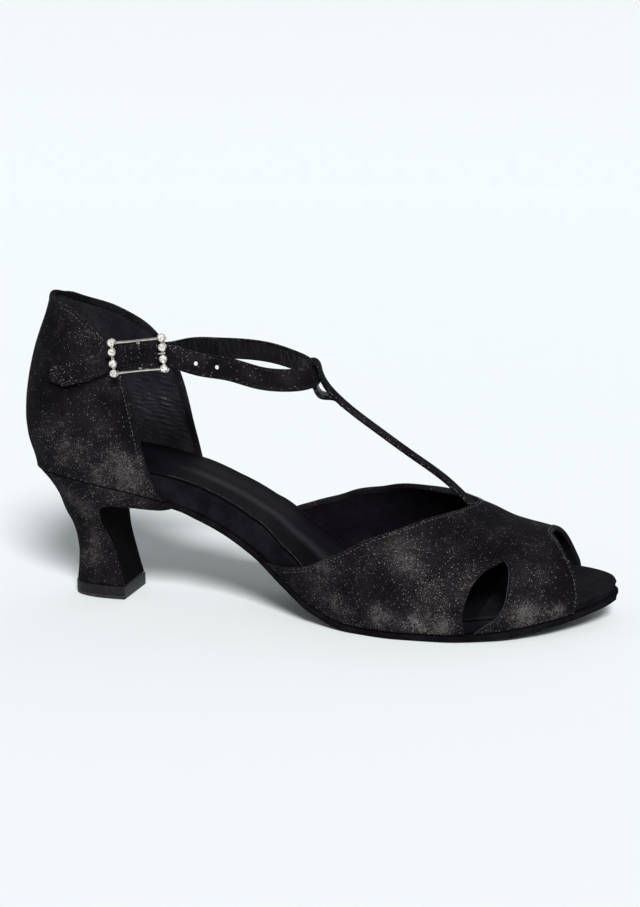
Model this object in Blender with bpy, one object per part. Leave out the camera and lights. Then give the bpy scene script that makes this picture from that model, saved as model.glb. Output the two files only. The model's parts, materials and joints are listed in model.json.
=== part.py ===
"""Ballroom dance shoe for the right foot: peep-toe vamp, closed heel cup, T strap, buckled ankle strap.

Frame of the functions below, in metres: X = 0 at the back of the heel seat and +X to the toe, +Y to the
inner side of the foot, -Y to the outer side where the buckle is, +Z up with the floor at Z = 0.
"""

import math

import bmesh
import bpy
import numpy as np
from mathutils import Vector

# Sole stack and last
SOLE_LENGTH = 0.2305
BALL_WIDTH = 0.077
HEEL_LIFT = 0.0488
TOE_SPRING = 0.0078
TOE_CANT = 0.008
INSTEP_HEIGHT = 0.050
COUNTER_HEIGHT = 0.0675
# The collar's middle at the back stands this much over its sides
COLLAR_PEAK = 0.0015
COLLAR_DROP = 0.0007
COLLAR_PEAK_REACH = 0.009
COLLAR_PEAK_START = 0.75
OUTSOLE_THICKNESS = 0.0022
OUTSOLE_EDGE = 0.0004
BOARD_THICKNESS = 0.0088
BOARD_DRAFT = 0.0006
SEAT_DISH = 0.0010
SOCK_THICKNESS = 0.0012
SOCK_INSET = 0.0010
UPPER_WALL = 0.0018
VAMP_BULGE = 0.0016

# Heel, its tip and the cover on its breast
HEEL_TIP_HEIGHT = 0.0052
HEEL_TIP_EDGE = 0.0003
BREAST_COVER = 0.0008
BREAST_RIM = 0.0012
WING_WALL = 0.0024

# Straps
T_STRAP_WIDTH = 0.0066
T_STRAP_THICKNESS = 0.0016
T_STRAP_SAG = 0.0024
T_STRAP_ROOT = 0.009
T_STRAP_ACROSS = 0.015
FOLD_LENGTH = 0.012
LOOP_EASE = 0.0014
LOOP_BACK = 0.0014
LOOP_TOP = 1.42
ANKLE_STRAP_WIDTH = 0.0087
ANKLE_STRAP_THICKNESS = 0.0016
TAIL_CUT = 0.0050
TAIL_TOP_CUT = 0.0018
STRAP_LIFT = 0.0008
STRAP_DROP = 0.0009
HOLE_DIAMETER = 0.0016
HOLE_PITCH = 0.0080
# Places of the punched holes from the buckle's middle to the toe, in pitches
HOLE_PLACES = (3.77, 2.77, 1.77, -0.09, -1.64)

# Buckle
BUCKLE_LENGTH = 0.0196
BUCKLE_PITCH = 6.8
BUCKLE_BAR = 0.0014
RAIL_DIAMETER = 0.0010
RAIL_BOW = 0.0002
CENTRE_BAR_DIAMETER = 0.0012
PRONG_DIAMETER = 0.0008
PRONG_SPACE = 0.0011
STONE_DIAMETER = 0.0032
STONE_PITCH = 0.0036
STONE_HEIGHT = 0.0015
CHAPE_WIDTH = 0.0068
CHAPE_THICKNESS = 0.0009
CHAPE_SLOT = 0.0024

# Clearance between pieces that touch on the real shoe
GAP = 0.0003


def curve(xs, ys):
    """A smooth function through the points that doesn't overshoot them."""
    steps = np.diff(xs)
    rises = np.diff(ys) / steps
    slopes = np.zeros(len(xs))
    slopes[0] = rises[0]
    slopes[-1] = rises[-1]
    for i in range(1, len(xs) - 1):
        if rises[i - 1] * rises[i] > 0:
            ahead = 2 * steps[i] + steps[i - 1]
            behind = steps[i] + 2 * steps[i - 1]
            slopes[i] = (ahead + behind) / (ahead / rises[i - 1] + behind / rises[i])

    def value(x):
        x = np.clip(x, xs[0], xs[-1])
        i = np.clip(np.searchsorted(xs, x, side="right") - 1, 0, len(xs) - 2)
        t = (x - xs[i]) / steps[i]
        height = ys[i] + (ys[i + 1] - ys[i]) * t**2 * (3 - 2 * t)
        return height + steps[i] * (slopes[i] * t * (1 - t) ** 2 - slopes[i + 1] * t**2 * (1 - t))

    return value


def table(columns, *rows):
    """One smooth function of the first column for each further column."""
    values = np.array(rows, dtype=float)
    return {name: curve(values[:, 0], values[:, i]) for i, name in enumerate(columns) if i}


# Plan and profile of the sole. along is a share of SOLE_LENGTH, half and centre are shares of BALL_WIDTH,
# lift of HEEL_LIFT, spring of TOE_SPRING, board of BOARD_THICKNESS, and welt of the upper's wall.
SOLE = table(
    ("along", "half", "centre", "lift", "spring", "board", "welt"),
    (0.000, 0.290, 0.000, 1.000, 0.00, 0.68, 0.0),
    (0.069, 0.299, 0.000, 0.992, 0.00, 0.70, 0.0),
    (0.147, 0.297, 0.000, 0.928, 0.00, 0.88, 0.0),
    (0.221, 0.281, 0.000, 0.861, 0.00, 0.98, 0.0),
    (0.286, 0.261, 0.003, 0.783, 0.00, 1.00, 0.0),
    (0.351, 0.248, -0.006, 0.656, 0.00, 1.00, 0.0),
    (0.416, 0.260, -0.014, 0.471, 0.00, 1.00, 0.1),
    (0.472, 0.297, -0.024, 0.266, 0.00, 1.00, 0.6),
    (0.528, 0.357, -0.028, 0.096, 0.00, 0.93, 1.0),
    (0.602, 0.436, -0.028, 0.000, 0.00, 0.62, 1.0),
    (0.675, 0.494, -0.026, 0.000, 0.00, 0.49, 1.0),
    (0.749, 0.501, -0.020, 0.000, 0.00, 0.47, 1.0),
    (0.827, 0.461, -0.008, 0.000, 0.24, 0.46, 1.0),
    (0.892, 0.390, 0.010, 0.000, 0.58, 0.42, 1.0),
    (0.948, 0.332, 0.030, 0.000, 0.85, 0.34, 0.6),
    (1.000, 0.273, 0.060, 0.000, 1.00, 0.28, 0.2),
)
# Radii of the round ends of the plan, as shares of BALL_WIDTH and SOLE_LENGTH
HEEL_ROUND = 0.286
TOE_ROUND = 0.152

# Heel cup. rise is a share of COUNTER_HEIGHT from the seam up, lean moves the plan forward by a share of
# COUNTER_HEIGHT, spread widens it, and the reaches are its front edges as shares of SOLE_LENGTH.
CUP = table(
    ("rise", "lean", "spread", "outer_reach", "inner_reach"),
    (0.000, 0.084, 0.930, 0.269, 0.290),
    (0.035, 0.080, 0.955, 0.257, 0.284),
    (0.080, 0.070, 0.980, 0.249, 0.279),
    (0.140, 0.050, 0.995, 0.242, 0.274),
    (0.190, 0.037, 1.000, 0.236, 0.270),
    (0.300, 0.026, 1.000, 0.228, 0.260),
    (0.400, 0.030, 1.000, 0.221, 0.252),
    (0.500, 0.043, 0.985, 0.214, 0.243),
    (0.600, 0.063, 0.965, 0.205, 0.230),
    (0.700, 0.090, 0.940, 0.190, 0.210),
    (0.800, 0.125, 0.910, 0.170, 0.180),
    (0.900, 0.162, 0.875, 0.137, 0.124),
    (0.960, 0.180, 0.850, 0.111, 0.080),
    (1.000, 0.190, 0.835, 0.062, 0.060),
)
# Where the cup's form ends and the waist's begins, as shares of SOLE_LENGTH
CUP_FADE_START = 0.17
CUP_FADE_END = 0.29

# Vamp over the sole. crest is a share of INSTEP_HEIGHT, ridge of BALL_WIDTH, and full and round are the
# powers that square off the section's width and height.
VAMP = table(
    ("along", "crest", "ridge", "full", "round"),
    (0.390, 1.12, 0.04, 1.00, 1.00),
    (0.472, 1.20, 0.05, 1.00, 1.00),
    (0.528, 1.21, 0.05, 0.97, 0.98),
    (0.602, 1.12, 0.05, 0.92, 0.94),
    (0.675, 0.955, 0.05, 0.88, 0.90),
    (0.749, 0.82, 0.05, 0.85, 0.86),
    (0.792, 0.74, 0.05, 0.84, 0.84),
    (0.827, 0.64, 0.05, 0.84, 0.82),
    (0.879, 0.54, 0.05, 0.84, 0.80),
    (0.914, 0.48, 0.05, 0.84, 0.80),
    (0.948, 0.38, 0.06, 0.84, 0.80),
    (0.974, 0.23, 0.06, 0.86, 0.84),
    (1.000, 0.08, 0.06, 0.90, 0.90),
)
# Edges of the vamp. girth runs from 0 at the outer feather line over the top to 1 at the inner one, and
# throat and toe are shares of SOLE_LENGTH.
VAMP_EDGE = table(
    ("girth", "throat", "toe"),
    (0.00, 0.445, 0.947),
    (0.03, 0.478, 0.952),
    (0.07, 0.516, 0.953),
    (0.17, 0.600, 0.949),
    (0.25, 0.664, 0.941),
    (0.34, 0.715, 0.927),
    (0.43, 0.753, 0.910),
    (0.50, 0.770, 0.897),
    (0.60, 0.735, 0.897),
    (0.69, 0.670, 0.903),
    (0.80, 0.553, 0.913),
    (0.88, 0.484, 0.922),
    (0.94, 0.440, 0.930),
    (1.00, 0.402, 0.934),
)
# Leaf-shaped cut-outs at the feather line, the same shape on both sides, up to their tips
SLIT = table(
    ("girth", "back", "front"),
    (0.000, 0.786, 0.802),
    (0.040, 0.784, 0.838),
    (0.100, 0.790, 0.849),
    (0.180, 0.808, 0.851),
    (0.230, 0.826, 0.848),
    (0.262, 0.840, 0.840),
)
SLIT_TIP = 0.262
SLIT_TIP_ALONG = 0.840
# How much further forward the inner side's cut-out sits, as a share of SOLE_LENGTH
SLIT_INNER_SHIFT = 0.028

# Heel from its tip up to the seat. level is a share of its height, back, breast and front are shares of
# SOLE_LENGTH, half of BALL_WIDTH, square is the power of its D section, seat is how far it follows the
# seat's plan, and wall is the rim beside the breast as a share of WING_WALL.
HEEL = table(
    ("level", "back", "breast", "front", "half", "square", "seat", "wall"),
    (0.00, 0.0795, 0.174, 0.179, 0.158, 2.30, 0.0, 0.50),
    (0.12, 0.0820, 0.169, 0.174, 0.152, 2.25, 0.0, 0.50),
    (0.25, 0.0833, 0.163, 0.168, 0.150, 2.20, 0.0, 0.50),
    (0.40, 0.0800, 0.155, 0.160, 0.158, 2.15, 0.0, 0.50),
    (0.52, 0.0735, 0.148, 0.153, 0.172, 2.10, 0.1, 0.50),
    (0.64, 0.0625, 0.143, 0.148, 0.192, 2.05, 0.3, 0.60),
    (0.76, 0.0555, 0.141, 0.150, 0.225, 2.00, 0.5, 0.70),
    (0.81, 0.0510, 0.141, 0.163, 0.235, 2.00, 0.6, 0.75),
    (0.85, 0.0465, 0.141, 0.205, 0.245, 2.00, 0.7, 0.80),
    (0.88, 0.0424, 0.141, 0.240, 0.252, 2.00, 0.8, 0.88),
    (0.91, 0.0380, 0.141, 0.262, 0.260, 2.00, 0.9, 0.95),
    (1.00, 0.0195, 0.141, 0.290, 0.275, 2.00, 1.0, 1.00),
)
HEEL_LEVELS = (0.0, 0.06, 0.14, 0.24, 0.34, 0.44, 0.54, 0.64, 0.72, 0.78, 0.82, 0.85, 0.88, 0.91, 0.95, 1.0)
BREAST_TOP = 0.85

# Middle line of the ankle strap's free part, from its root on the inner side round the front to the
# buckle. along is a share of SOLE_LENGTH, across of BALL_WIDTH, height of COUNTER_HEIGHT from the seam,
# and lean is how far the top edge leans in, in degrees.
ANKLE_ROUTE = (
    (0.255, 0.318, 0.640, 8.0),
    (0.300, 0.302, 0.650, 10.0),
    (0.352, 0.276, 0.653, 13.0),
    (0.405, 0.235, 0.643, 15.0),
    (0.455, 0.165, 0.614, 17.0),
    (0.487, 0.095, 0.590, 18.0),
    (0.500, 0.020, 0.572, 19.0),
    (0.490, -0.065, 0.556, 19.0),
    (0.465, -0.140, 0.556, 18.0),
    (0.425, -0.205, 0.578, 16.0),
    (0.380, -0.260, 0.630, 13.0),
    (0.335, -0.312, 0.662, 10.0),
)
# Root of the strap on the inner side of the cup, and its tail on the outer side: along and height
ANKLE_ROOT = ((0.175, 0.640), (0.215, 0.645))
ANKLE_TAIL = ((0.140, 0.628), (0.110, 0.596), (0.080, 0.552))
CUP_LEAN = 8.0
# Sag of the T strap along its free part from the throat up, as shares of its chord and of T_STRAP_SAG
T_STRAP_BENDS = ((0.09, 0.04), (0.20, -0.40), (0.40, 0.06), (0.65, 0.77), (0.86, 1.00))
BUCKLE_ALONG = 0.236
BUCKLE_RISE = 0.728


def smooth_step(t):
    t = np.clip(t, 0, 1)
    return t * t * (3 - 2 * t)


def under(x):
    """Height of the sole's underside on its middle line."""
    share = x / SOLE_LENGTH
    return HEEL_LIFT * SOLE["lift"](share) + TOE_SPRING * SOLE["spring"](share)


def layer(x, depth, y=0.0):
    """Height of a surface at a depth into the sole stack, square to the sole, with the toe's cant."""
    step = SOLE_LENGTH / 1000
    slope = (under(x + step) - under(x - step)) / (2 * step)
    cant = TOE_CANT * SOLE["spring"](x / SOLE_LENGTH) * y / BALL_WIDTH
    return under(x) + depth * np.sqrt(1 + slope**2) + cant


def seam(x, y=0.0):
    """Height of the line where the upper and the board start."""
    return layer(x, OUTSOLE_THICKNESS + GAP, y)


def board_depth(x):
    return OUTSOLE_THICKNESS + GAP + BOARD_THICKNESS * SOLE["board"](x / SOLE_LENGTH)


def collar_top():
    return seam(0.0) + COUNTER_HEIGHT


def rise_at(x, z):
    """Share of the way from the seam up to the collar's top."""
    return (z - seam(x)) / (collar_top() - seam(x))


def outline(x, grow):
    """Half width and middle of the sole's plan, moved out by grow."""
    share = x / SOLE_LENGTH
    heel_radius = HEEL_ROUND * BALL_WIDTH + grow
    toe_radius = TOE_ROUND * SOLE_LENGTH + grow
    heel = np.clip((x + grow) / heel_radius, 0, 1)
    toe = np.clip((SOLE_LENGTH + grow - x) / toe_radius, 0, 1)
    ends = np.sqrt(1 - (1 - heel) ** 2) * np.sqrt(1 - (1 - toe) ** 2)
    return (BALL_WIDTH * SOLE["half"](share) + grow) * ends, BALL_WIDTH * SOLE["centre"](share)


def plan(x, rise, grow):
    """Half width and middle of the shoe's plan at a rise up the heel cup, moved out by grow."""
    fade = (x / SOLE_LENGTH - CUP_FADE_START) / (CUP_FADE_END - CUP_FADE_START)
    cup = 1 - smooth_step(fade)
    half, centre = outline(x - CUP["lean"](rise) * COUNTER_HEIGHT * cup, grow)
    return half * (1 + (CUP["spread"](rise) - 1) * cup), centre


def rear(rise, grow):
    return CUP["lean"](rise) * COUNTER_HEIGHT - grow


def smooth_path(points, count):
    """Points along a natural cubic spline through the rows, at even steps of chord length."""
    points = np.array(points, dtype=float)
    knots = np.concatenate([[0], np.cumsum(np.linalg.norm(np.diff(points[:, :3], axis=0), axis=1))])
    steps = np.diff(knots)
    size = len(points)
    matrix = np.eye(size)
    right = np.zeros_like(points)
    for i in range(1, size - 1):
        matrix[i, i - 1 : i + 2] = steps[i - 1], 2 * (steps[i - 1] + steps[i]), steps[i]
        change = (points[i + 1] - points[i]) / steps[i] - (points[i] - points[i - 1]) / steps[i - 1]
        right[i] = 6 * change
    bends = np.linalg.solve(matrix, right)
    result = []
    for knot in np.linspace(0, knots[-1], count):
        i = min(np.searchsorted(knots, knot, side="right") - 1, size - 2)
        h = steps[i]
        before = knot - knots[i]
        after = h - before
        point = (bends[i] * after**3 + bends[i + 1] * before**3) / (6 * h)
        point += (points[i] / h - bends[i] * h / 6) * after
        point += (points[i + 1] / h - bends[i + 1] * h / 6) * before
        result.append(point)
    return np.array(result)


def unit(vectors):
    return vectors / np.linalg.norm(vectors, axis=-1, keepdims=True)


def material(name, colour, roughness, metallic=0.0):
    made = bpy.data.materials.new(name)
    made.use_nodes = True
    shader = made.node_tree.nodes["Principled BSDF"]
    shader.inputs["Base Color"].default_value = (*colour, 1.0)
    shader.inputs["Roughness"].default_value = roughness
    shader.inputs["Metallic"].default_value = metallic
    return made


def add_object(name, verts, faces, look, sharp=35.0):
    """A named closed mesh, shaded smooth with its sharp edges kept."""
    mesh = bpy.data.meshes.new(name)
    mesh.from_pydata([tuple(v) for v in verts], [], faces)
    cleaner = bmesh.new()
    cleaner.from_mesh(mesh)
    bmesh.ops.remove_doubles(cleaner, verts=cleaner.verts, dist=1e-7)
    bmesh.ops.recalc_face_normals(cleaner, faces=cleaner.faces)
    cleaner.to_mesh(mesh)
    cleaner.free()
    mesh.shade_smooth()
    mesh.set_sharp_from_angle(angle=math.radians(sharp))
    made = bpy.data.objects.new(name, mesh)
    made.data.materials.append(look)
    bpy.context.scene.collection.objects.link(made)
    return made


def grid_faces(points, skip=()):
    """Cells of a grid of points as faces; points that meet become one corner."""
    rows, columns = points.shape[:2]
    corner = {}
    first = []
    for number, point in enumerate(points.reshape(-1, 3)):
        first.append(corner.setdefault(tuple(np.round(point, 7)), number))
    faces = []
    for i in range(rows - 1):
        for j in range(columns - 1):
            k = i * columns + j
            face = [first[n] for n in (k, k + 1, k + columns + 1, k + columns)]
            face = tuple(dict.fromkeys(face))
            if (i, j) not in skip and len(face) > 2:
                faces.append(face)
    return faces


def sheet(name, top, bottom, look, skip=()):
    """A closed solid between two grids of points, without the skipped cells."""
    faces = grid_faces(top, skip)
    count = top.shape[0] * top.shape[1]
    edges = set()
    for face in faces:
        edges.update(zip(face, face[1:] + face[:1]))
    walls = [(b, a, a + count, b + count) for a, b in sorted(edges) if (b, a) not in edges]
    under_faces = [tuple(index + count for index in reversed(face)) for face in faces]
    used = sorted({index for face in faces + under_faces for index in face})
    renumber = {old: new for new, old in enumerate(used)}
    verts = np.concatenate([top.reshape(-1, 3), bottom.reshape(-1, 3)])[used]
    shape = [tuple(renumber[index] for index in face) for face in faces + under_faces + walls]
    return add_object(name, verts, shape, look)


def tube(name, path, radii, sides, look):
    """A round rod along a path, with closed ends."""
    ways = unit(np.gradient(path, axis=0))
    across = unit(np.cross(ways, np.roll(ways[0], 1) + np.array([0.1, 0.2, 0.3])))
    other = np.cross(ways, across)
    angles = np.linspace(0, 2 * math.pi, sides, endpoint=False)
    rings = [
        path[i] + radii[i] * (np.outer(np.cos(angles), across[i]) + np.outer(np.sin(angles), other[i]))
        for i in range(len(path))
    ]
    faces = [tuple(range(sides)), tuple(range((len(path) - 1) * sides, len(path) * sides))]
    for i in range(len(path) - 1):
        for j in range(sides):
            k = (j + 1) % sides
            faces.append((i * sides + j, i * sides + k, (i + 1) * sides + k, (i + 1) * sides + j))
    return add_object(name, np.concatenate(rings), faces, look)


def boolean(target, tool, operation):
    """Joins a tool to the target or cuts the target with it; the tool stays as a hidden guide."""
    tool.hide_render = True
    tool.display_type = "WIRE"
    change = target.modifiers.new(operation.lower(), "BOOLEAN")
    change.operation = operation
    change.object = tool


# Sole

SOLE_STATIONS = 34
SOLE_COLUMNS = np.linspace(-1, 1, 7)


def end_shares(count):
    """Shares from 0 to 1, close together at both ends and just short of them."""
    margin = 0.0012
    even = np.linspace(0, math.pi, count)
    return margin + (1 - 2 * margin) * (1 - np.cos(even)) / 2


def sole_grid(xs, half, centre, depth, dish):
    """Grid of points of a sole surface at the depth, hollowed by dish in the middle of the seat."""
    x = xs[:, None] + 0 * SOLE_COLUMNS
    y = centre[:, None] + half[:, None] * SOLE_COLUMNS
    seat = 1 - smooth_step(xs / SOLE_LENGTH / CUP_FADE_END)
    z = layer(x, depth[:, None], y) - dish * seat[:, None] * (1 - SOLE_COLUMNS**2)
    return np.stack([x, y, z], axis=-1)


def build_outsole(look):
    """Thin outsole from the heel's breast, between the heel's wings, to the toe."""
    start = SOLE_LENGTH * HEEL["breast"](1.0) + GAP
    xs = start + (SOLE_LENGTH + OUTSOLE_EDGE - start) * (1 - np.cos(np.linspace(0, math.pi, SOLE_STATIONS))) / 2
    xs[-1] = SOLE_LENGTH + OUTSOLE_EDGE - SOLE_LENGTH / 1000
    share = xs / SOLE_LENGTH
    grow = SOLE["welt"](share) * (GAP + UPPER_WALL) + OUTSOLE_EDGE
    wings = 1 - smooth_step((share - HEEL["front"](1.0)) / 0.03)
    half, centre = plan(xs, 0.0, grow)
    rim = plan(xs, 0.0, GAP + UPPER_WALL)[0] - WING_WALL - 2 * GAP
    half = half * (1 - wings) + np.minimum(half, rim) * wings
    top = sole_grid(xs, half, centre, OUTSOLE_THICKNESS + 0 * xs, 0.0)
    bottom = sole_grid(xs, half, centre, 0 * xs, 0.0)
    return sheet("outsole", top, bottom, look)


def build_board(look):
    """Wrapped insole board whose side shows as the band at the waist."""
    shares = end_shares(SOLE_STATIONS)
    low_xs = rear(0.0, 0.0) + (SOLE_LENGTH - rear(0.0, 0.0)) * shares
    low_half, low_centre = plan(low_xs, 0.0, -BOARD_DRAFT / 2)
    seat_rise = rise_at(0.0, layer(0.0, board_depth(0.0)))
    high_xs = rear(seat_rise, 0.0) + (SOLE_LENGTH - rear(seat_rise, 0.0)) * shares
    rises = rise_at(high_xs, layer(high_xs, board_depth(high_xs)))
    high_half, high_centre = plan(high_xs, rises, -BOARD_DRAFT)
    top = sole_grid(high_xs, high_half, high_centre, board_depth(high_xs), SEAT_DISH)
    bottom = sole_grid(low_xs, low_half, low_centre, OUTSOLE_THICKNESS + GAP + 0 * low_xs, 0.0)
    return sheet("midsole_board", top, bottom, look)


def build_sock(look):
    """Smooth sock that lines the whole footbed."""
    depth = board_depth(0.0)
    seat_rise = rise_at(0.0, layer(0.0, depth))
    start = rear(seat_rise, -SOCK_INSET)
    xs = start + (SOLE_LENGTH - SOCK_INSET - start) * end_shares(SOLE_STATIONS)
    depth = board_depth(xs) + GAP
    half, centre = plan(xs, rise_at(xs, layer(xs, depth)), -SOCK_INSET)
    top = sole_grid(xs, half, centre, depth + SOCK_THICKNESS, SEAT_DISH)
    bottom = sole_grid(xs, half, centre, depth, SEAT_DISH)
    return sheet("insole_sock", top, bottom, look)


# Upper

VAMP_SIDE_COLUMNS = 8
VAMP_TOP_COLUMNS = 9
VAMP_BACK_ROWS = 11
VAMP_FRONT_ROWS = 6


def vamp_point(x, girth, inside=False):
    """Point of the vamp's surface; only the feather line has its own inner points."""
    share = x / SOLE_LENGTH
    half, centre = outline(x, GAP if inside else GAP + UPPER_WALL)
    ridge = BALL_WIDTH * VAMP["ridge"](share)
    angle = math.pi * girth
    side = np.where(girth < 0.5, -1.0, 1.0)
    foot = centre + side * half
    wide = np.abs(np.cos(angle)) ** VAMP["full"](share)
    high = np.abs(np.sin(angle)) ** VAMP["round"](share)
    y = ridge + (foot - ridge) * wide + VAMP_BULGE * side * np.abs(np.sin(2 * angle))
    z = seam(x, foot) * (1 - high) + (seam(x) + INSTEP_HEIGHT * VAMP["crest"](share)) * high
    return np.stack([x + 0 * y, y, z], axis=-1)


def vamp_normal(x, girth):
    step = 1e-4
    girth = np.clip(girth, 2 * step, 1 - 2 * step)
    along = vamp_point(x + step * SOLE_LENGTH, girth) - vamp_point(x - step * SOLE_LENGTH, girth)
    around = vamp_point(x, girth + step) - vamp_point(x, girth - step)
    return unit(np.cross(along, around))


def vamp_inner_point(x, girth):
    """Point of the lining side, one wall in from the surface."""
    point = vamp_point(x, girth) - UPPER_WALL * vamp_normal(x, girth)
    foot = (girth == 0) | (girth == 1)
    return np.where(foot[..., None], vamp_point(x, girth, inside=True), point)


def vamp_girths():
    side = np.linspace(0, SLIT_TIP, VAMP_SIDE_COLUMNS + 1)
    top = np.linspace(SLIT_TIP, 1 - SLIT_TIP, VAMP_TOP_COLUMNS + 1)
    return np.concatenate([side, top[1:-1], 1 - side[::-1]])


def build_vamp(look):
    """Hollow vamp, open at the throat, at the toe, underneath and at a cut-out on each side."""
    girths = vamp_girths()
    leaf = np.minimum(girths, 1 - girths)
    open_leaf = leaf < SLIT_TIP - 1e-6
    shift = SLIT_INNER_SHIFT * smooth_step((girths - SLIT_TIP) / (1 - 2 * SLIT_TIP))
    back = SOLE_LENGTH * (shift + np.where(open_leaf, SLIT["back"](leaf), SLIT_TIP_ALONG))
    front = SOLE_LENGTH * (shift + np.where(open_leaf, SLIT["front"](leaf), SLIT_TIP_ALONG))
    throat = SOLE_LENGTH * VAMP_EDGE["throat"](girths)
    toe = SOLE_LENGTH * VAMP_EDGE["toe"](girths)
    rows = [throat + (back - throat) * t for t in np.linspace(0, 1, VAMP_BACK_ROWS + 1)]
    rows += [front + (toe - front) * t for t in np.linspace(0, 1, VAMP_FRONT_ROWS + 1)]
    x = np.array(rows)
    girth = girths + 0 * x
    skip = {(VAMP_BACK_ROWS, j) for j in range(len(girths) - 1)}
    return sheet("vamp", vamp_point(x, girth), vamp_inner_point(x, girth), look, skip)


COUNTER_RISES = (0, 0.035, 0.08, 0.14, 0.22, 0.32, 0.42, 0.52, 0.62, 0.71, 0.80, 0.88, 0.94, 0.98, 1)
COUNTER_COLUMNS = np.linspace(-1, 1, 25)


def cup_point(x, rise, side, grow):
    """Point of the heel cup's surface at x on one side; grow is 0 on the board's edge."""
    half, centre = plan(x, rise, grow)
    z = seam(x) + rise * (collar_top() - seam(x))
    near = 1 - smooth_step(half / COLLAR_PEAK_REACH)
    z = z + (COLLAR_PEAK * near - COLLAR_DROP) * smooth_step((rise - COLLAR_PEAK_START) / (1 - COLLAR_PEAK_START))
    return np.stack([x + 0 * half, centre + side * half, z], axis=-1)


def cup_grid(grow):
    rise = np.array(COUNTER_RISES)[:, None] + 0 * COUNTER_COLUMNS
    reach = np.where(COUNTER_COLUMNS < 0, CUP["outer_reach"](rise), CUP["inner_reach"](rise))
    back = rear(rise, grow)
    x = back + (SOLE_LENGTH * reach - back) * COUNTER_COLUMNS**2
    return cup_point(x, rise, np.sign(COUNTER_COLUMNS) + 0 * x, grow)


def build_counter(look):
    """Hollow heel cup round the seat, open at the collar, in front and underneath."""
    return sheet("heel_counter", cup_grid(GAP + UPPER_WALL), cup_grid(GAP), look)


# Heel

HEEL_SIDE_POINTS = 8
HEEL_WING_POINTS = 3


def heel_half(x, level):
    """Half width of the heel at x and a level of its height, a D that widens into the seat's plan."""
    back = heel_back(level)
    breast = SOLE_LENGTH * HEEL["breast"](level)
    share = (x - back) / (breast - back)
    power = HEEL["square"](level)
    shaft = BALL_WIDTH * HEEL["half"](level) * (1 - (1 - np.clip(share, 0, 1)) ** power) ** (1 / power)
    seat = HEEL["seat"](level)
    seat_back = rear(0.0, GAP + UPPER_WALL)
    seat_x = np.where(share < 1, seat_back + (breast - seat_back) * share, x)
    return shaft * (1 - seat) + plan(seat_x, 0.0, GAP + UPPER_WALL)[0] * seat


def heel_back(level):
    return SOLE_LENGTH * HEEL["back"](level)


def heel_height(x, level):
    """Height of a level of the heel, which runs from flat at the tip to the seat's slope."""
    base = HEEL_TIP_HEIGHT + GAP
    return base + level * (layer(x, OUTSOLE_THICKNESS) - base)


def heel_ring(level):
    """One side of the heel's outline: the outer side, then the inner side of the wing."""
    back = heel_back(level)
    breast = SOLE_LENGTH * HEEL["breast"](level)
    front = SOLE_LENGTH * HEEL["front"](level)
    shares = np.linspace(0, 1, HEEL_SIDE_POINTS + 1) ** 2
    wing = np.linspace(breast, front, HEEL_WING_POINTS + 1)[1:]
    outer_x = np.concatenate([back + (breast - back) * shares, wing])
    inner_x = np.concatenate([wing[::-1], [breast]])
    outer_y = heel_half(outer_x, level)
    inner_y = heel_half(inner_x, level) - WING_WALL * HEEL["wall"](level)
    x = np.concatenate([outer_x, inner_x])
    y = np.concatenate([outer_y, inner_y])
    return np.stack([x, y, heel_height(x, level)], axis=-1)


def build_heel(look):
    """Flared heel with a hollow breast between two rims that run out as wings under the waist."""
    rings = []
    for level in HEEL_LEVELS:
        inner = heel_ring(level)
        outer = inner * np.array([1, -1, 1])
        rings.append(np.concatenate([inner, outer[:0:-1]]))
    count = len(rings[0])
    side = len(heel_ring(0.0))
    verts = np.concatenate(rings)
    faces = []
    for k in range(len(rings) - 1):
        for j in range(count):
            n = (j + 1) % count
            faces.append((k * count + j, k * count + n, (k + 1) * count + n, (k + 1) * count + j))
    for first in (0, (len(rings) - 1) * count):
        mirrored = [first + (count - j) % count for j in range(side)]
        near = [first + j for j in range(side)]
        for j in range(HEEL_SIDE_POINTS - 1):
            if j == 0:
                faces.append((near[0], near[1], mirrored[1]))
            else:
                faces.append((near[j], near[j + 1], mirrored[j + 1], mirrored[j]))
        j = HEEL_SIDE_POINTS - 1
        faces.append((near[j], near[j + 1], near[-1], mirrored[-1], mirrored[j + 1], mirrored[j]))
        for line in (near, mirrored):
            for j in range(HEEL_WING_POINTS):
                a = HEEL_SIDE_POINTS + j
                b = side - 1 - j
                faces.append((line[a], line[a + 1], line[b - 1], line[b]))
    return add_object("heel", verts, faces, look)


def build_heel_tip(look):
    """Flat wearing tip under the heel."""
    front = SOLE_LENGTH * HEEL["front"](0.0) + HEEL_TIP_EDGE
    back = heel_back(0.0) - HEEL_TIP_EDGE
    shares = np.linspace(0.06, 1, HEEL_SIDE_POINTS + 3) ** 2
    xs = back + (front - back) * shares
    half = heel_half((xs - back) / (front - back) * (front - back - 2 * HEEL_TIP_EDGE) + heel_back(0.0), 0.0)
    y = (half + HEEL_TIP_EDGE)[:, None] * np.array([-1, 1])
    x = xs[:, None] + 0 * y
    top = np.stack([x, y, HEEL_TIP_HEIGHT + 0 * y], axis=-1)
    bottom = np.stack([x, y, 0 * y], axis=-1)
    return sheet("heel_tip", top, bottom, look)


def build_breast_cover(look):
    """Thin cover that fills the hollow of the heel's breast."""
    levels = np.array([level for level in HEEL_LEVELS if level <= BREAST_TOP])
    breast = SOLE_LENGTH * HEEL["breast"](levels) + GAP
    wall = WING_WALL * HEEL["wall"](levels)
    half = np.array([heel_half(b, level) for b, level in zip(breast, levels)]) - wall - GAP
    y = half[:, None] * np.array([-1, -0.5, 0, 0.5, 1])
    back = breast[:, None] + 0 * y
    z = heel_height(back, levels[:, None])
    inner = np.stack([back, y, z], axis=-1)
    return sheet("heel_breast", inner + np.array([BREAST_COVER, 0, 0]), inner, look)


# Straps

ANKLE_STATIONS = 74
T_STATIONS = 46


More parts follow.
